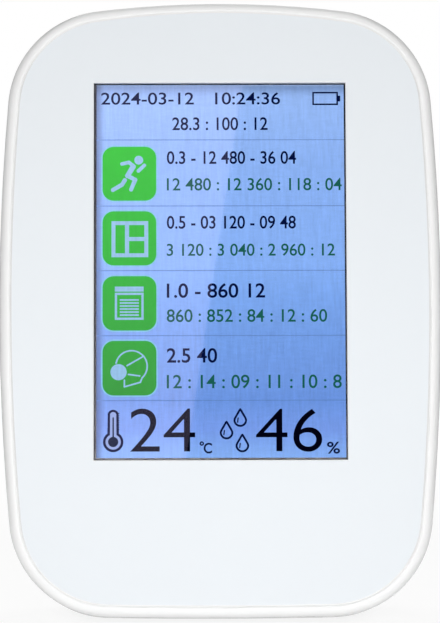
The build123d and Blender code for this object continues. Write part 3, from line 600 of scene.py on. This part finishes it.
panel_finish = moulded_finish(
    "panel_plastic", (0.80, 0.835, 0.865), 0.5, grain=3200.0, variation=0.012, strength=0.08
)
# The edges' lighter colour is a painted highlight; their lower roughness is their real gloss.
edge_gloss_and_highlight = moulded_finish(
    "panel_edge", (0.985, 0.985, 0.99), 0.2, grain=3200.0, variation=0.01, strength=0.02
)
panel = smooth_copy("front_panel", panel_finish)
gloss_and_highlight_steps(panel, edge_gloss_and_highlight)


# ---- Panel seal ----
# A thin bead of pale sealant that fills the groove between the panel's edge and the rim. It
# is drawn out from the panel's outer bevel, a little under the face, to the rim's wall.
SEAL_WIDTH = 0.00021
SEAL_SINK = 0.00014
SEAL_STEP = 0.00003
FRONT_LEAST = 0.99
BEVEL_LEANS = (0.1, 0.5)
# Between these distances from the middle the bead darkens from its own tone to a darker one: painted
# shade of the groove along the sides.
SEAL_SHADE_START = 0.035
SEAL_SHADE_FULL = 0.040
SEAL_TONES = ((0.0, (0.86, 0.86, 0.855)), (1.0, (0.70, 0.70, 0.70)))


def outer_ring(piece):
    """The edges where a plate's front meets its outer bevel, each with the way outwards."""
    form = bmesh.new()
    form.from_mesh(piece.data)
    middle = sum((vert.co for vert in form.verts), Vector()) / len(form.verts)
    ring = []
    for edge in form.edges:
        front, bevel = sorted(edge.link_faces, key=lambda face: face.normal.dot(INTO_THE_FACE))
        outward = bevel.normal - INTO_THE_FACE * bevel.normal.dot(INTO_THE_FACE)
        leaning = -bevel.normal.dot(INTO_THE_FACE)
        is_front = -front.normal.dot(INTO_THE_FACE) > FRONT_LEAST
        is_bevel = BEVEL_LEANS[0] < leaning < BEVEL_LEANS[1]
        if is_front and is_bevel and outward.dot(edge.verts[0].co - middle) > 0:
            start, end = (vert.co.copy() for vert in edge.verts)
            ring.append((start, end, outward.normalized()))
    form.free()
    return ring


def turn_to_reader(form):
    """Turns flat faces that look into the counter to look out of it."""
    for face in form.faces:
        if face.normal.dot(INTO_THE_FACE) > 0:
            face.normal_flip()


def add_range(tree, value, low, high, to_low=0.0, to_high=1.0, smooth=False):
    """Maps a range of a number on to another, and stops at its ends."""
    node = tree.nodes.new("ShaderNodeMapRange")
    node.interpolation_type = "SMOOTHSTEP" if smooth else "LINEAR"
    tree.links.new(value, node.inputs["Value"])
    for socket, number in zip(node.inputs[1:5], (low, high, to_low, to_high)):
        socket.default_value = number
    return node.outputs[0]


def add_ramp(tree, value, stops):
    """A ramp of colours along a number from 0 to 1."""
    ramp = tree.nodes.new("ShaderNodeValToRGB")
    elements = ramp.color_ramp.elements
    for element, (place, colour) in zip(elements, (stops[0], stops[-1])):
        element.position = place
        element.color = (*colour, 1)
    for place, colour in stops[1:-1]:
        element = elements.new(place)
        element.color = (*colour, 1)
    tree.links.new(value, ramp.inputs["Fac"])
    return ramp.outputs["Color"]


seal_finish = moulded_finish(
    "seal_white", SEAL_TONES[0][1], 0.5, grain=2000.0, variation=0.02, strength=0.02
)
# The bead is coloured darker along the two sides: painted shade of the groove there.
tree = seal_finish.node_tree
split = tree.nodes.new("ShaderNodeSeparateXYZ")
tree.links.new(tree.nodes.new("ShaderNodeTexCoord").outputs["Object"], split.inputs[0])
sideways = add_math(tree, "ABSOLUTE", split.outputs["X"], 0.0)
painted_groove_shade = add_range(tree, sideways, SEAL_SHADE_START, SEAL_SHADE_FULL)
skin = next(node for node in tree.nodes if node.type == "GROUP")
tree.links.new(add_ramp(tree, painted_groove_shade, SEAL_TONES), skin.inputs["Colour"])
form = bmesh.new()
for start, end, outward in outer_ring(panel):
    inner = [
        form.verts.new(point + INTO_THE_FACE * SEAL_SINK + outward * SEAL_STEP)
        for point in (start, end)
    ]
    outer = [form.verts.new(vert.co + outward * SEAL_WIDTH) for vert in reversed(inner)]
    form.faces.new(inner + outer)
bmesh.ops.remove_doubles(form, verts=form.verts, dist=0.00001)
turn_to_reader(form)
seal = piece_from(form, "panel_seal", seal_finish)
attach(seal, "housing")


# ---- Touch panel ----
# A sheet of clear cover glass behind the window, laminated over the display cell. It
# mirrors a little of the room.
def dress_node(node_name, finish):
    """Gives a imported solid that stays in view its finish."""
    solid = frame["nodes"][node_name]
    solid.data.materials.clear()
    solid.data.materials.append(finish)
    for face in solid.data.polygons:
        face.material_index = 0


glass_finish, tree, shader = new_finish("touch_glass")
shader.inputs["Base Color"].default_value = (1.0, 1.0, 1.0, 1)
shader.inputs["Roughness"].default_value = 0.0
shader.inputs["IOR"].default_value = 1.45
shader.inputs["Transmission Weight"].default_value = 1.0
dress_node("touch_panel", glass_finish)


# ---- Display cell ----
# The liquid crystal cell under the glass: two thin glass sheets with a black printed border
# round the lit area.
cell_finish = moulded_finish(
    "cell_border", (0.004, 0.004, 0.006), 0.35, grain=900.0, variation=0.2, strength=0.02
)
dress_node("lcd_cell", cell_finish)


# ---- Lit display ----
# What the cell shows while it runs: a blue ground lit from behind, with status figures, four
# rows of readings with their signs, and the temperature and humidity in large figures.
LIT_LEFT = -24.40
LIT_RIGHT = 24.62
LIT_FOOT = 31.34
LIT_TOP = 105.45
GROUND_DEPTH = 2.575
HALO_DEPTH = 2.56
TILE_DEPTH = 2.545
MARK_DEPTH = 2.53
PALE_DEPTH = 2.515
FILL_DEPTH = 2.50
# Painted shade of the window's edge, along the ground's left and top edges.
SHADE_FROM_LEFT = (-24.6, -22.6, 0.42, 1.0)
SHADE_FROM_TOP = (105.4, 102.8, 0.60, 1.0)
# A painted glare: the ground gives out more light towards its left, as a reflection in the glass would
# make it look.
PAINTED_GLARE_ACROSS = (-24.0, 24.0, 1.09, 1.03)
FILM_IOR = 2.6
FILM_ROUGHNESS = 0.03


def add_face_place(tree):
    """Where a point is on the face, in millimetres: across, up the face and out of it."""
    place = tree.nodes.new("ShaderNodeMapping")
    place.vector_type = "TEXTURE"
    place.inputs["Location"].default_value = FACE_FOOT
    place.inputs["Rotation"].default_value = (math.radians(90) - LEAN, 0, 0)
    place.inputs["Scale"].default_value = (MILLIMETRE, MILLIMETRE, MILLIMETRE)
    tree.links.new(tree.nodes.new("ShaderNodeTexCoord").outputs["Object"], place.inputs["Vector"])
    return place.outputs[0]


def add_streaks(tree, place, scale):
    """Noise drawn out along one way of the face."""
    stretch = tree.nodes.new("ShaderNodeMapping")
    stretch.inputs["Scale"].default_value = scale
    tree.links.new(place, stretch.inputs["Vector"])
    return add_noise(tree, stretch.outputs[0], 1.0)


# The cell's dot lines: a faint weave of upright streaks and fine cross lines in what shines
# through it.
dot_weave, given, made = group_of_nodes(
    "dot_weave", ("Depth",), ("Colour",), (("Colour", "NodeSocketColor"),)
)
place = add_face_place(dot_weave)
upright = add_streaks(dot_weave, place, (2.6, 0.22, 1.0))
across = add_math(dot_weave, "MULTIPLY", add_streaks(dot_weave, place, (0.5, 3.0, 1.0)), 0.6)
weave = add_math(dot_weave, "SUBTRACT", add_math(dot_weave, "ADD", upright, across), 0.8)
weave = add_math(dot_weave, "MULTIPLY", weave, given.outputs["Depth"])
give(dot_weave, made.inputs["Colour"], add_shaded(dot_weave, given.outputs["Colour"], weave))


def new_lit_finish(name):
    """A new material that only gives out light, with its shader."""
    material, tree, shader = new_finish(name)
    shader.inputs["Base Color"].default_value = (0, 0, 0, 1)
    shader.inputs["Roughness"].default_value = 0.4
    shader.inputs["Specular IOR Level"].default_value = 0.0
    shader.inputs["Emission Strength"].default_value = 1.0
    return material, tree, shader


def even_lit_finish(name, colour):
    """What a small sign of the display gives out, one colour all over."""
    material, tree, shader = new_lit_finish(name)
    shader.inputs["Emission Color"].default_value = (*colour, 1)
    return material


def lit_finish(name, stops, low=31.0, high=105.0, depth=0.3, is_ground=False):
    """What one colour of the display gives out, with a ramp up the face and its weave; on the ground
    also painted shade along its left and top edges and a painted glare towards its left.
    """
    material, tree, shader = new_lit_finish(name)
    place = add_face_place(tree)
    split = tree.nodes.new("ShaderNodeSeparateXYZ")
    tree.links.new(place, split.inputs[0])
    weave = tree.nodes.new("ShaderNodeGroup")
    weave.node_tree = dot_weave
    weave.inputs["Depth"].default_value = depth
    tone = add_ramp(tree, add_range(tree, split.outputs["Y"], low, high), stops)
    tree.links.new(tone, weave.inputs["Colour"])
    given_out = weave.outputs["Colour"]
    if is_ground:
        # Painted shade of the window's edge, darker towards the left and top.
        from_left = add_range(tree, split.outputs["X"], *SHADE_FROM_LEFT, smooth=True)
        from_top = add_range(tree, split.outputs["Y"], *SHADE_FROM_TOP, smooth=True)
        # Painted glare, brighter towards the left.
        painted_glare = add_range(tree, split.outputs["X"], *PAINTED_GLARE_ACROSS)
        painted_shade_and_glare = add_math(tree, "MULTIPLY", add_math(tree, "MULTIPLY", from_left, from_top), painted_glare)
        given_out = add_blend(tree, 1.0, given_out, painted_shade_and_glare, "MULTIPLY")
        # The cell's front film mirrors a bright thing more than the dark figures do.
        shader.inputs["Specular IOR Level"].default_value = 0.5
        shader.inputs["IOR"].default_value = FILM_IOR
        shader.inputs["Roughness"].default_value = FILM_ROUGHNESS
    tree.links.new(given_out, shader.inputs["Emission Color"])
    return material


def lay_on_cell(name, form, depth, finish):
    """Lays flat shapes, drawn on the face in millimetres, at their depth over the cell."""
    bmesh.ops.translate(form, verts=form.verts, vec=(0, 0, -depth))
    bmesh.ops.transform(form, matrix=FACE, verts=form.verts)
    bmesh.ops.recalc_face_normals(form, faces=form.faces)
    turn_to_reader(form)
    piece = piece_from(form, name, finish)
    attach(piece, "housing")


def add_bar(form, left, foot, wide, tall):
    """A plain rectangle."""
    middle = Matrix.Translation((left + wide / 2, foot + tall / 2, 0))
    made = bmesh.ops.create_grid(
        form, x_segments=1, y_segments=1, size=0.5, matrix=middle @ Matrix.Diagonal((wide, tall, 1, 1))
    )
    return made["verts"]


def add_tile(form, left, foot, wide, tall, radius):
    """A rectangle with round corners."""
    corners = add_bar(form, left, foot, wide, tall)
    bmesh.ops.bevel(
        form,
        geom=corners,
        offset=radius,
        offset_type="OFFSET",
        segments=8,
        profile=0.5,
        affect="VERTICES",
        material=-1,
    )


def cut_to_line(form, verts, line):
    """Leaves only a line of even width inside the outline of one flat face."""
    face = verts[0].link_faces[0]
    bmesh.ops.inset_region(form, faces=[face], thickness=line, use_even_offset=True, use_boundary=True)
    bmesh.ops.delete(form, geom=[face], context="FACES")


def add_disc(form, across, up, radius, line=None, segments=40):
    """A filled circle, or its outline if a line is given."""
    made = bmesh.ops.create_circle(
        form, cap_ends=True, segments=segments, radius=radius, matrix=Matrix.Translation((across, up, 0))
    )
    if line:
        cut_to_line(form, made["verts"], line)


def add_stroke(form, points, line):
    """A stroke with round ends along straight runs."""
    for start, end in zip(points[:-1], points[1:]):
        start, end = Vector((*start, 0)), Vector((*end, 0))
        along = end - start
        made = bmesh.ops.create_circle(form, cap_ends=True, segments=16, radius=line / 2)["verts"]
        ahead = [vert for vert in made if vert.co.x > 0]
        bmesh.ops.translate(form, verts=ahead, vec=(along.length, 0, 0))
        turn = Matrix.Rotation(math.atan2(along.y, along.x), 4, "Z")
        bmesh.ops.transform(form, matrix=Matrix.Translation(start) @ turn, verts=made)


def add_drop(form, across, up, radius, line):
    """The outline of a water drop."""
    made = bmesh.ops.create_circle(form, cap_ends=True, segments=48, radius=radius)["verts"]
    for vert in made:
        rise = max(0.0, vert.co.y / radius)
        vert.co.x *= 1 - 0.45 * rise * rise
        vert.co.y *= 1 + 0.75 * rise * rise
    bmesh.ops.translate(form, verts=made, vec=(across, up, 0))
    cut_to_line(form, made, line)


def add_figures(form, text, left, foot, wide, tall, weight=0.0):
    """Sets a line of figures to the width and height of its place."""
    letters = bpy.data.curves.new("figures", "FONT")
    letters.body = text
    letters.offset = weight
    holder = bpy.data.objects.new("figures", letters)
    mesh = bpy.data.meshes.new_from_object(holder)
    xs = [vert.co.x for vert in mesh.vertices]
    ys = [vert.co.y for vert in mesh.vertices]
    fit = Matrix.Diagonal((wide / (max(xs) - min(xs)), tall / (max(ys) - min(ys)), 1, 1))
    to_corner = Matrix.Translation((-min(xs), -min(ys), 0))
    mesh.transform(Matrix.Translation((left, foot, 0)) @ fit @ to_corner)
    form.from_mesh(mesh)
    bpy.data.objects.remove(holder)
    bpy.data.curves.remove(letters)
    bpy.data.meshes.remove(mesh)


ground = bmesh.new()
add_bar(ground, LIT_LEFT, LIT_FOOT, LIT_RIGHT - LIT_LEFT, LIT_TOP - LIT_FOOT)
lay_on_cell(
    "display_ground",
    ground,
    GROUND_DEPTH,
    lit_finish(
        "lit_blue",
        stops=(
            (0.01, (0.235, 0.43, 0.90)),
            (0.08, (0.185, 0.33, 0.82)),
            (0.16, (0.145, 0.295, 0.74)),
            (0.24, (0.165, 0.325, 0.78)),
            (0.34, (0.175, 0.345, 0.80)),
            (0.43, (0.20, 0.385, 0.86)),
            (0.52, (0.24, 0.435, 0.92)),
            (0.78, (0.26, 0.445, 0.90)),
            (0.94, (0.305, 0.49, 0.93)),
            (1.00, (0.30, 0.47, 0.87)),
        ),
        is_ground=True,
    ),
)

ROW_FOOTS = (82.28, 69.39, 56.47, 43.65)
TILE_LEFT = -23.2
TILE_WIDTH = 10.6
TILE_HEIGHT = 10.78
TILE_RADIUS = 2.2
HALO = 0.28

halos = bmesh.new()
tiles = bmesh.new()
for row_foot in ROW_FOOTS:
    add_tile(
        halos,
        TILE_LEFT - HALO,
        row_foot - HALO,
        TILE_WIDTH + 2 * HALO,
        TILE_HEIGHT + 2 * HALO,
        TILE_RADIUS + HALO,
    )
    add_tile(tiles, TILE_LEFT, row_foot, TILE_WIDTH, TILE_HEIGHT, TILE_RADIUS)
lay_on_cell(
    "display_halos",
    halos,
    HALO_DEPTH,
    lit_finish("lit_halo", stops=((0.0, (0.23, 0.55, 0.83)), (1.0, (0.31, 0.63, 0.88)))),
)
lay_on_cell(
    "display_tiles",
    tiles,
    TILE_DEPTH,
    lit_finish(
        "lit_green",
        stops=((0.0, (0.030, 0.33, 0.030)), (0.5, (0.036, 0.49, 0.040)), (1.0, (0.046, 0.60, 0.040))),
        low=43.0,
        high=93.5,
        depth=0.22,
    ),
)

# The signs, each drawn from its tile's lower left corner. Row 1: a person in stride.
SIGN_LINE = 0.32
signs = bmesh.new()
left, foot = TILE_LEFT, ROW_FOOTS[0]
add_disc(signs, left + 7.15, foot + 8.1, 0.88)
for line, points in (
    (1.05, ((6.05, 6.8), (4.95, 5.0))),
    (0.75, ((6.1, 6.95), (5.2, 7.65), (3.85, 7.35))),
    (0.75, ((7.1, 5.95), (8.25, 7.05))),
    (0.85, ((4.95, 4.95), (6.45, 4.2), (5.65, 2.25))),
    (0.85, ((4.4, 4.1), (3.85, 3.2), (2.05, 2.15))),
):
    add_stroke(signs, [(left + x, foot + y) for x, y in points], line)
# Row 2: a window with one tall pane and two low ones.
foot = ROW_FOOTS[1]
for across, up, wide, tall in (
    (1.76, 1.63, 0.78, 7.18),
    (8.24, 1.63, 0.78, 7.18),
    (4.42, 2.41, 0.82, 5.62),
    (2.54, 1.63, 5.70, 0.78),
    (2.54, 8.03, 5.70, 0.78),
    (5.24, 4.85, 3.00, 0.80),
):
    add_bar(signs, left + across, foot + up, wide, tall)
# Row 3: an air cleaner with its lid and louvres.
foot = ROW_FOOTS[2]
add_bar(signs, left + 2.42, foot + 7.72, 5.68, 1.0)
cut_to_line(signs, add_bar(signs, left + 2.42, foot + 2.12, 5.68, 5.38), 0.45)
for louvre in range(6):
    add_bar(signs, left + 3.4, foot + 2.9 + 0.6 * louvre, 3.75, 0.33)
# Row 4: a cup mask on a plain round head, with its two straps.
foot = ROW_FOOTS[3]
add_disc(signs, left + 3.15, foot + 4.6, 1.6)
turns = [math.radians(turn) for turn in range(168, -52, -12)]
head = [(5.7 + 3.1 * math.cos(turn), 5.75 + 3.1 * math.sin(turn)) for turn in turns]
for points in (
    [*head, (7.45, 2.6), (4.3, 1.7), (4.3, 3.0)],
    ((4.85, 5.9), (8.1, 7.75)),
    ((5.1, 4.15), (7.3, 3.85)),
):
    add_stroke(signs, [(left + x, foot + y) for x, y in points], SIGN_LINE)
lay_on_cell(
    "display_signs",
    signs,
    MARK_DEPTH,
    lit_finish("lit_pale", stops=((0.0, (0.29, 0.53, 0.81)), (1.0, (0.37, 0.61, 0.87)))),
)

# The status line, the four rows' upper lines, the units, the drops and the thermometer.
DROP_RADIUS = 1.34
DROP_LINE = 0.40
GLINT_LINE = 0.26
BULB_ACROSS = -21.1
BULB_UP = 34.5
TUBE_UP = 35.0

dark = bmesh.new()
add_figures(dark, "2024-03-12   10:24:36", -23.5, 101.5, 35.5, 2.45, 0.008)
cut_to_line(dark, add_bar(dark, 18.4, 101.36, 5.1, 2.66), 0.32)
add_bar(dark, 23.5, 102.1, 0.45, 1.15)
add_figures(dark, "28.3 : 100 : 12", -9.4, 96.35, 18.9, 2.6, 0.01)
for text, row, left, foot, wide, tall in (
    ("0.3 - 12 480 - 36 04", 0, -10.48, 7.3, 25.6, 2.6),
    ("0.5 - 03 120 - 09 48", 1, -10.51, 7.25, 25.5, 2.6),
    ("1.0 - 860 12", 2, -10.54, 6.45, 19.4, 2.9),
    ("2.5 40", 3, -10.56, 6.42, 9.9, 2.9),
):
    add_figures(dark, text, left, ROW_FOOTS[row] + foot, wide, tall, 0.012)
add_figures(dark, "C", -3.35, 32.2, 1.65, 2.1, 0.02)
add_disc(dark, -3.72, 34.15, 0.44, 0.27, 16)
add_figures(dark, "%", 20.85, 32.1, 2.55, 2.35, 0.015)
for across, up in ((1.14, 36.3), (3.85, 38.75), (4.24, 33.75)):
    add_drop(dark, across, up, DROP_RADIUS, DROP_LINE)
    add_stroke(dark, ((across - 0.42, up + 0.4), (across - 0.52, up - 0.4)), GLINT_LINE)
add_disc(dark, BULB_ACROSS, BULB_UP, 2.0)
add_stroke(dark, ((BULB_ACROSS, TUBE_UP), (BULB_ACROSS, 39.7)), 2.3)
lay_on_cell(
    "display_figures", dark, MARK_DEPTH, even_lit_finish("lit_navy", (0.001, 0.005, 0.045))
)

large = bmesh.new()
add_figures(large, "24", -17.77, 32.6, 12.76, 8.45, -0.006)
add_figures(large, "46", 6.92, 32.5, 13.0, 8.45, -0.006)
lay_on_cell(
    "display_large_figures", large, MARK_DEPTH, even_lit_finish("lit_black", (0.001, 0.001, 0.006))
)

inside = bmesh.new()
add_disc(inside, BULB_ACROSS, BULB_UP, 1.5)
add_stroke(inside, ((BULB_ACROSS, TUBE_UP), (BULB_ACROSS, 39.75)), 1.3)
lay_on_cell(
    "display_bulb_inside", inside, PALE_DEPTH, even_lit_finish("lit_bulb", (0.35, 0.45, 0.83))
)

column = bmesh.new()
add_disc(column, BULB_ACROSS, BULB_UP, 1.0)
add_stroke(column, ((BULB_ACROSS, 34.6), (BULB_ACROSS, 39.2)), 0.3)
for tick in range(8):
    add_bar(column, -20.35, 36.9 + 0.45 * tick, 0.45, 0.16)
lay_on_cell(
    "display_bulb_column", column, FILL_DEPTH, even_lit_finish("lit_column", (0.004, 0.012, 0.04))
)

green = bmesh.new()
for text, row, left, foot, wide, tall in (
    ("12 480 : 12 360 : 118 : 04", 0, -10.49, 2.0, 34.6, 2.5),
    ("3 120 : 3 040 : 2 960 : 12", 1, -10.52, 1.85, 33.2, 2.45),
    ("860 : 852 : 84 : 12 : 60", 2, -10.55, 1.65, 31.6, 2.55),
    ("12 : 14 : 09 : 11 : 10 : 8", 3, -10.57, 1.35, 34.4, 2.7),
):
    add_figures(green, text, left, ROW_FOOTS[row] + foot, wide, tall, 0.008)
lay_on_cell(
    "display_readings", green, MARK_DEPTH, even_lit_finish("lit_teal", (0.012, 0.115, 0.085))
)

RULE_HEIGHTS = (94.43, 81.22, 68.35, 55.45, 42.64)
RULE_LINE = 0.18
rules = bmesh.new()
for height in RULE_HEIGHTS:
    add_bar(rules, LIT_LEFT, height - RULE_LINE / 2, LIT_RIGHT - LIT_LEFT, RULE_LINE)
lay_on_cell(
    "display_rules",
    rules,
    HALO_DEPTH,
    lit_finish("lit_rule", stops=((0.0, (0.11, 0.23, 0.60)), (1.0, (0.19, 0.32, 0.68)))),
)


# ---- Backlight ----
# Behind the cell: a clear acrylic light guide with its milled dots, in a pressed steel tray.
BRUSHED_SCALE = (60.0, 2400.0, 2400.0)
PATCH_SCALE = 120.0
BRUSHED_DEPTH = 0.00001

brushed_metal, given, made = group_of_nodes(
    "brushed_metal",
    ("Roughness", "Depth"),
    ("Colour",),
    (("Colour", "NodeSocketColor"), ("Roughness", "NodeSocketFloat"), ("Height", "NodeSocketFloat")),
)
where = brushed_metal.nodes.new("ShaderNodeTexCoord").outputs["Object"]
drawn = brushed_metal.nodes.new("ShaderNodeMapping")
drawn.inputs["Scale"].default_value = BRUSHED_SCALE
brushed_metal.links.new(where, drawn.inputs["Vector"])
lines = add_noise(brushed_metal, drawn.outputs[0], 1.0, 3.0)
brushing = add_sway(brushed_metal, lines, given.outputs["Depth"])
dulling = add_sway(brushed_metal, add_noise(brushed_metal, where, PATCH_SCALE), 0.25)
give(brushed_metal, made.inputs["Colour"], add_shaded(brushed_metal, given.outputs["Colour"], brushing))
give(
    brushed_metal,
    made.inputs["Roughness"],
    add_math(brushed_metal, "ADD", dulling, given.outputs["Roughness"]),
)
give(brushed_metal, made.inputs["Height"], lines)


def metal_finish(name, colour, roughness, depth=0.25, strength=0.12):
    """A drawn, rolled or plated metal, from its colour, gloss and brushing."""
    material, tree, shader = new_finish(name)
    use_group(
        tree,
        shader,
        brushed_metal,
        {"Colour": colour, "Roughness": roughness, "Depth": depth},
        BRUSHED_DEPTH,
        strength,
    )
    shader.inputs["Metallic"].default_value = 1.0
    return material


guide_finish = moulded_finish(
    "guide_acrylic", (0.82, 0.88, 0.90), 0.12, grain=700.0, variation=0.02, strength=0.15
)
dress_node("light_guide", guide_finish)
smooth_copy("backlight_tray", metal_finish("tray_steel", (0.62, 0.63, 0.64), 0.34))


# ---- Tapes and gaskets ----
# Die-cut black tape holds the panel, the display and the battery, and closed-cell foam seals
# the display and the sensor's outlet.
tape_finish = moulded_finish(
    "tape_black", (0.02, 0.02, 0.022), 0.6, grain=800.0, variation=0.2, strength=0.2
)
foam_finish = moulded_finish(
    "foam_black", (0.03, 0.03, 0.033), 0.92, grain=1100.0, variation=0.3, strength=0.9
)
for tape_node in ("panel_tape", "display_tape", "battery_tape"):
    dress_node(tape_node, tape_finish)
dress_node("display_gasket", foam_finish)
smooth_copy("sensor_gasket", foam_finish)


# ---- Main board ----
# A four-layer glass-epoxy board, green solder mask over copper tracks, screwed to the front
# housing's bosses. It carries the sockets, the switch and the chips.
TRACK_SCALE = 0.55
TRACK_GAP = 0.035
PAD_SCALE = 0.42
GLASS_WEAVE_SCALE = 6.0
TRACK_HEIGHT = 0.00004

board_tracks, given, made = group_of_nodes(
    "board_tracks",
    ("Roughness",),
    ("Mask", "Copper"),
    (("Colour", "NodeSocketColor"), ("Roughness", "NodeSocketFloat"), ("Height", "NodeSocketFloat")),
)
place = add_face_place(board_tracks)
routes = board_tracks.nodes.new("ShaderNodeTexBrick")
routes.inputs["Scale"].default_value = TRACK_SCALE
routes.inputs["Mortar Size"].default_value = TRACK_GAP
routes.inputs["Mortar Smooth"].default_value = 0.2
board_tracks.links.new(place, routes.inputs["Vector"])
pads = board_tracks.nodes.new("ShaderNodeTexVoronoi")
pads.feature = "F1"
pads.inputs["Scale"].default_value = PAD_SCALE
board_tracks.links.new(place, pads.inputs["Vector"])
pad = add_range(board_tracks, pads.outputs["Distance"], 0.12, 0.16, 1.0, 0.0)
track = add_math(board_tracks, "MAXIMUM", routes.outputs["Fac"], pad)
glass_weave = add_noise(board_tracks, place, GLASS_WEAVE_SCALE)
mask = add_shaded(board_tracks, given.outputs["Mask"], add_sway(board_tracks, glass_weave, 0.3))
dulling = add_math(board_tracks, "MULTIPLY", glass_weave, 0.1)
give(
    board_tracks,
    made.inputs["Colour"],
    add_blend(board_tracks, track, mask, given.outputs["Copper"]),
)
give(
    board_tracks,
    made.inputs["Roughness"],
    add_math(board_tracks, "ADD", given.outputs["Roughness"], dulling),
)
give(board_tracks, made.inputs["Height"], track)

board_finish, tree, shader = new_finish("board_green")
use_group(
    tree,
    shader,
    board_tracks,
    {"Mask": (0.012, 0.11, 0.035), "Copper": (0.03, 0.22, 0.07), "Roughness": 0.3},
    TRACK_HEIGHT,
    0.4,
)
smooth_copy("main_board", board_finish)
dress_node("sensor_board", board_finish)


# ---- Chips, sensor port and switch on the board ----
# Epoxy-moulded parts soldered to the board, dull black and lightly blasted.
chip_finish = moulded_finish(
    "chip_epoxy", (0.022, 0.022, 0.024), 0.55, grain=2400.0, variation=0.15, strength=0.3
)
smooth_copy("board_chips", chip_finish)
smooth_copy("power_switch", chip_finish)
smooth_copy("photodiode", chip_finish)


# ---- Connectors ----
# Small crimp connectors and the display's flex socket, moulded in cream nylon.
nylon_finish = moulded_finish(
    "connector_nylon", (0.74, 0.69, 0.56), 0.45, grain=1800.0, variation=0.06, strength=0.15
)
for socket_node in ("display_socket", "battery_connector", "sensor_connector"):
    dress_node(socket_node, nylon_finish)


# ---- Display flex ----
# The amber polyimide strip that carries the display's lines to the board, with its copper
# seen through the film.
FLEX_TRACK_HEIGHT = 0.00002
flex_finish, tree, shader = new_finish("flex_film")
use_group(
    tree,
    shader,
    board_tracks,
    {"Mask": (0.55, 0.22, 0.035), "Copper": (0.70, 0.34, 0.08), "Roughness": 0.25},
    FLEX_TRACK_HEIGHT,
    0.3,
)
smooth_copy("display_flex", flex_finish)


# ---- Charging socket ----
# A drawn steel shell round its tongue, soldered to the board's edge and open through the
# right side of the case.
shell_finish = metal_finish("shell_steel", (0.72, 0.72, 0.73), 0.26)
smooth_copy("usb_socket", shell_finish)


# ---- Power button ----
# A small grey key moulded in ABS, held behind the top wall, with its white plunger pressing
# the switch on the board.
button_finish = moulded_finish(
    "button_plastic", (0.50, 0.51, 0.52), 0.36, grain=1600.0, variation=0.04, strength=0.2
)
plunger_finish = moulded_finish(
    "plunger_nylon", (0.80, 0.80, 0.78), 0.4, variation=0.03, strength=0.1
)
smooth_copy("power_button", button_finish)
smooth_copy("switch_plunger", plunger_finish)
smooth_copy("climate_sensor", plunger_finish)


# ---- Battery ----
# A lithium pouch cell in silver laminate, taped to the board, with a red and a black wire in
# one node, which takes the red of the first.
pouch_finish = metal_finish("pouch_laminate", (0.66, 0.67, 0.68), 0.4, depth=0.12, strength=0.3)
wire_finish = moulded_finish(
    "wire_pvc", (0.42, 0.02, 0.02), 0.4, grain=900.0, variation=0.06, strength=0.1
)
smooth_copy("battery_cell", pouch_finish)
smooth_copy("battery_wires", wire_finish)


# ---- Particle sensor ----
# The measuring chamber, a blue moulded case with a steel lid, its laser diode, photodiode
# and board inside, joined to the main board by a grey ribbon.
sensor_finish = moulded_finish(
    "sensor_plastic", (0.03, 0.13, 0.36), 0.42, grain=1500.0, variation=0.06, strength=0.2
)
lid_finish = metal_finish("sensor_lid_steel", (0.66, 0.67, 0.69), 0.32)
brass_finish = metal_finish("laser_brass", (0.80, 0.60, 0.26), 0.28)
ribbon_finish = moulded_finish(
    "ribbon_pvc", (0.36, 0.37, 0.38), 0.5, grain=900.0, variation=0.05, strength=0.15
)
smooth_copy("particle_sensor_case", sensor_finish)
smooth_copy("particle_sensor_lid", lid_finish)
smooth_copy("laser_diode", brass_finish)
smooth_copy("sensor_ribbon", ribbon_finish)


# ---- Fan ----
# A small axial fan in the sensor's lid, which draws air through the chamber: a motor cup on
# three struts and a seven-bladed rotor, both moulded in black polyester.
fan_finish = moulded_finish(
    "fan_plastic", (0.025, 0.025, 0.028), 0.38, grain=1500.0, variation=0.12, strength=0.2
)
smooth_copy("fan_motor", fan_finish)
smooth_copy("fan_rotor", fan_finish, corner=40.0)


# ---- Screws ----
# Cross-recessed pan-head screws in zinc-plated steel: four for the case and four that hold
# the board.
screw_finish = metal_finish("screw_zinc", (0.70, 0.70, 0.70), 0.28, depth=0.15, strength=0.1)
smooth_copy("housing_screws", screw_finish)
smooth_copy("board_screws", screw_finish)


# ---- Feet ----
# Two strips of grey rubber glued into the base, on which the counter stands.
rubber_finish = moulded_finish(
    "foot_rubber", (0.10, 0.10, 0.105), 0.8, grain=1200.0, variation=0.12, strength=0.5
)
smooth_copy("front_foot", rubber_finish)
smooth_copy("rear_foot", rubber_finish)
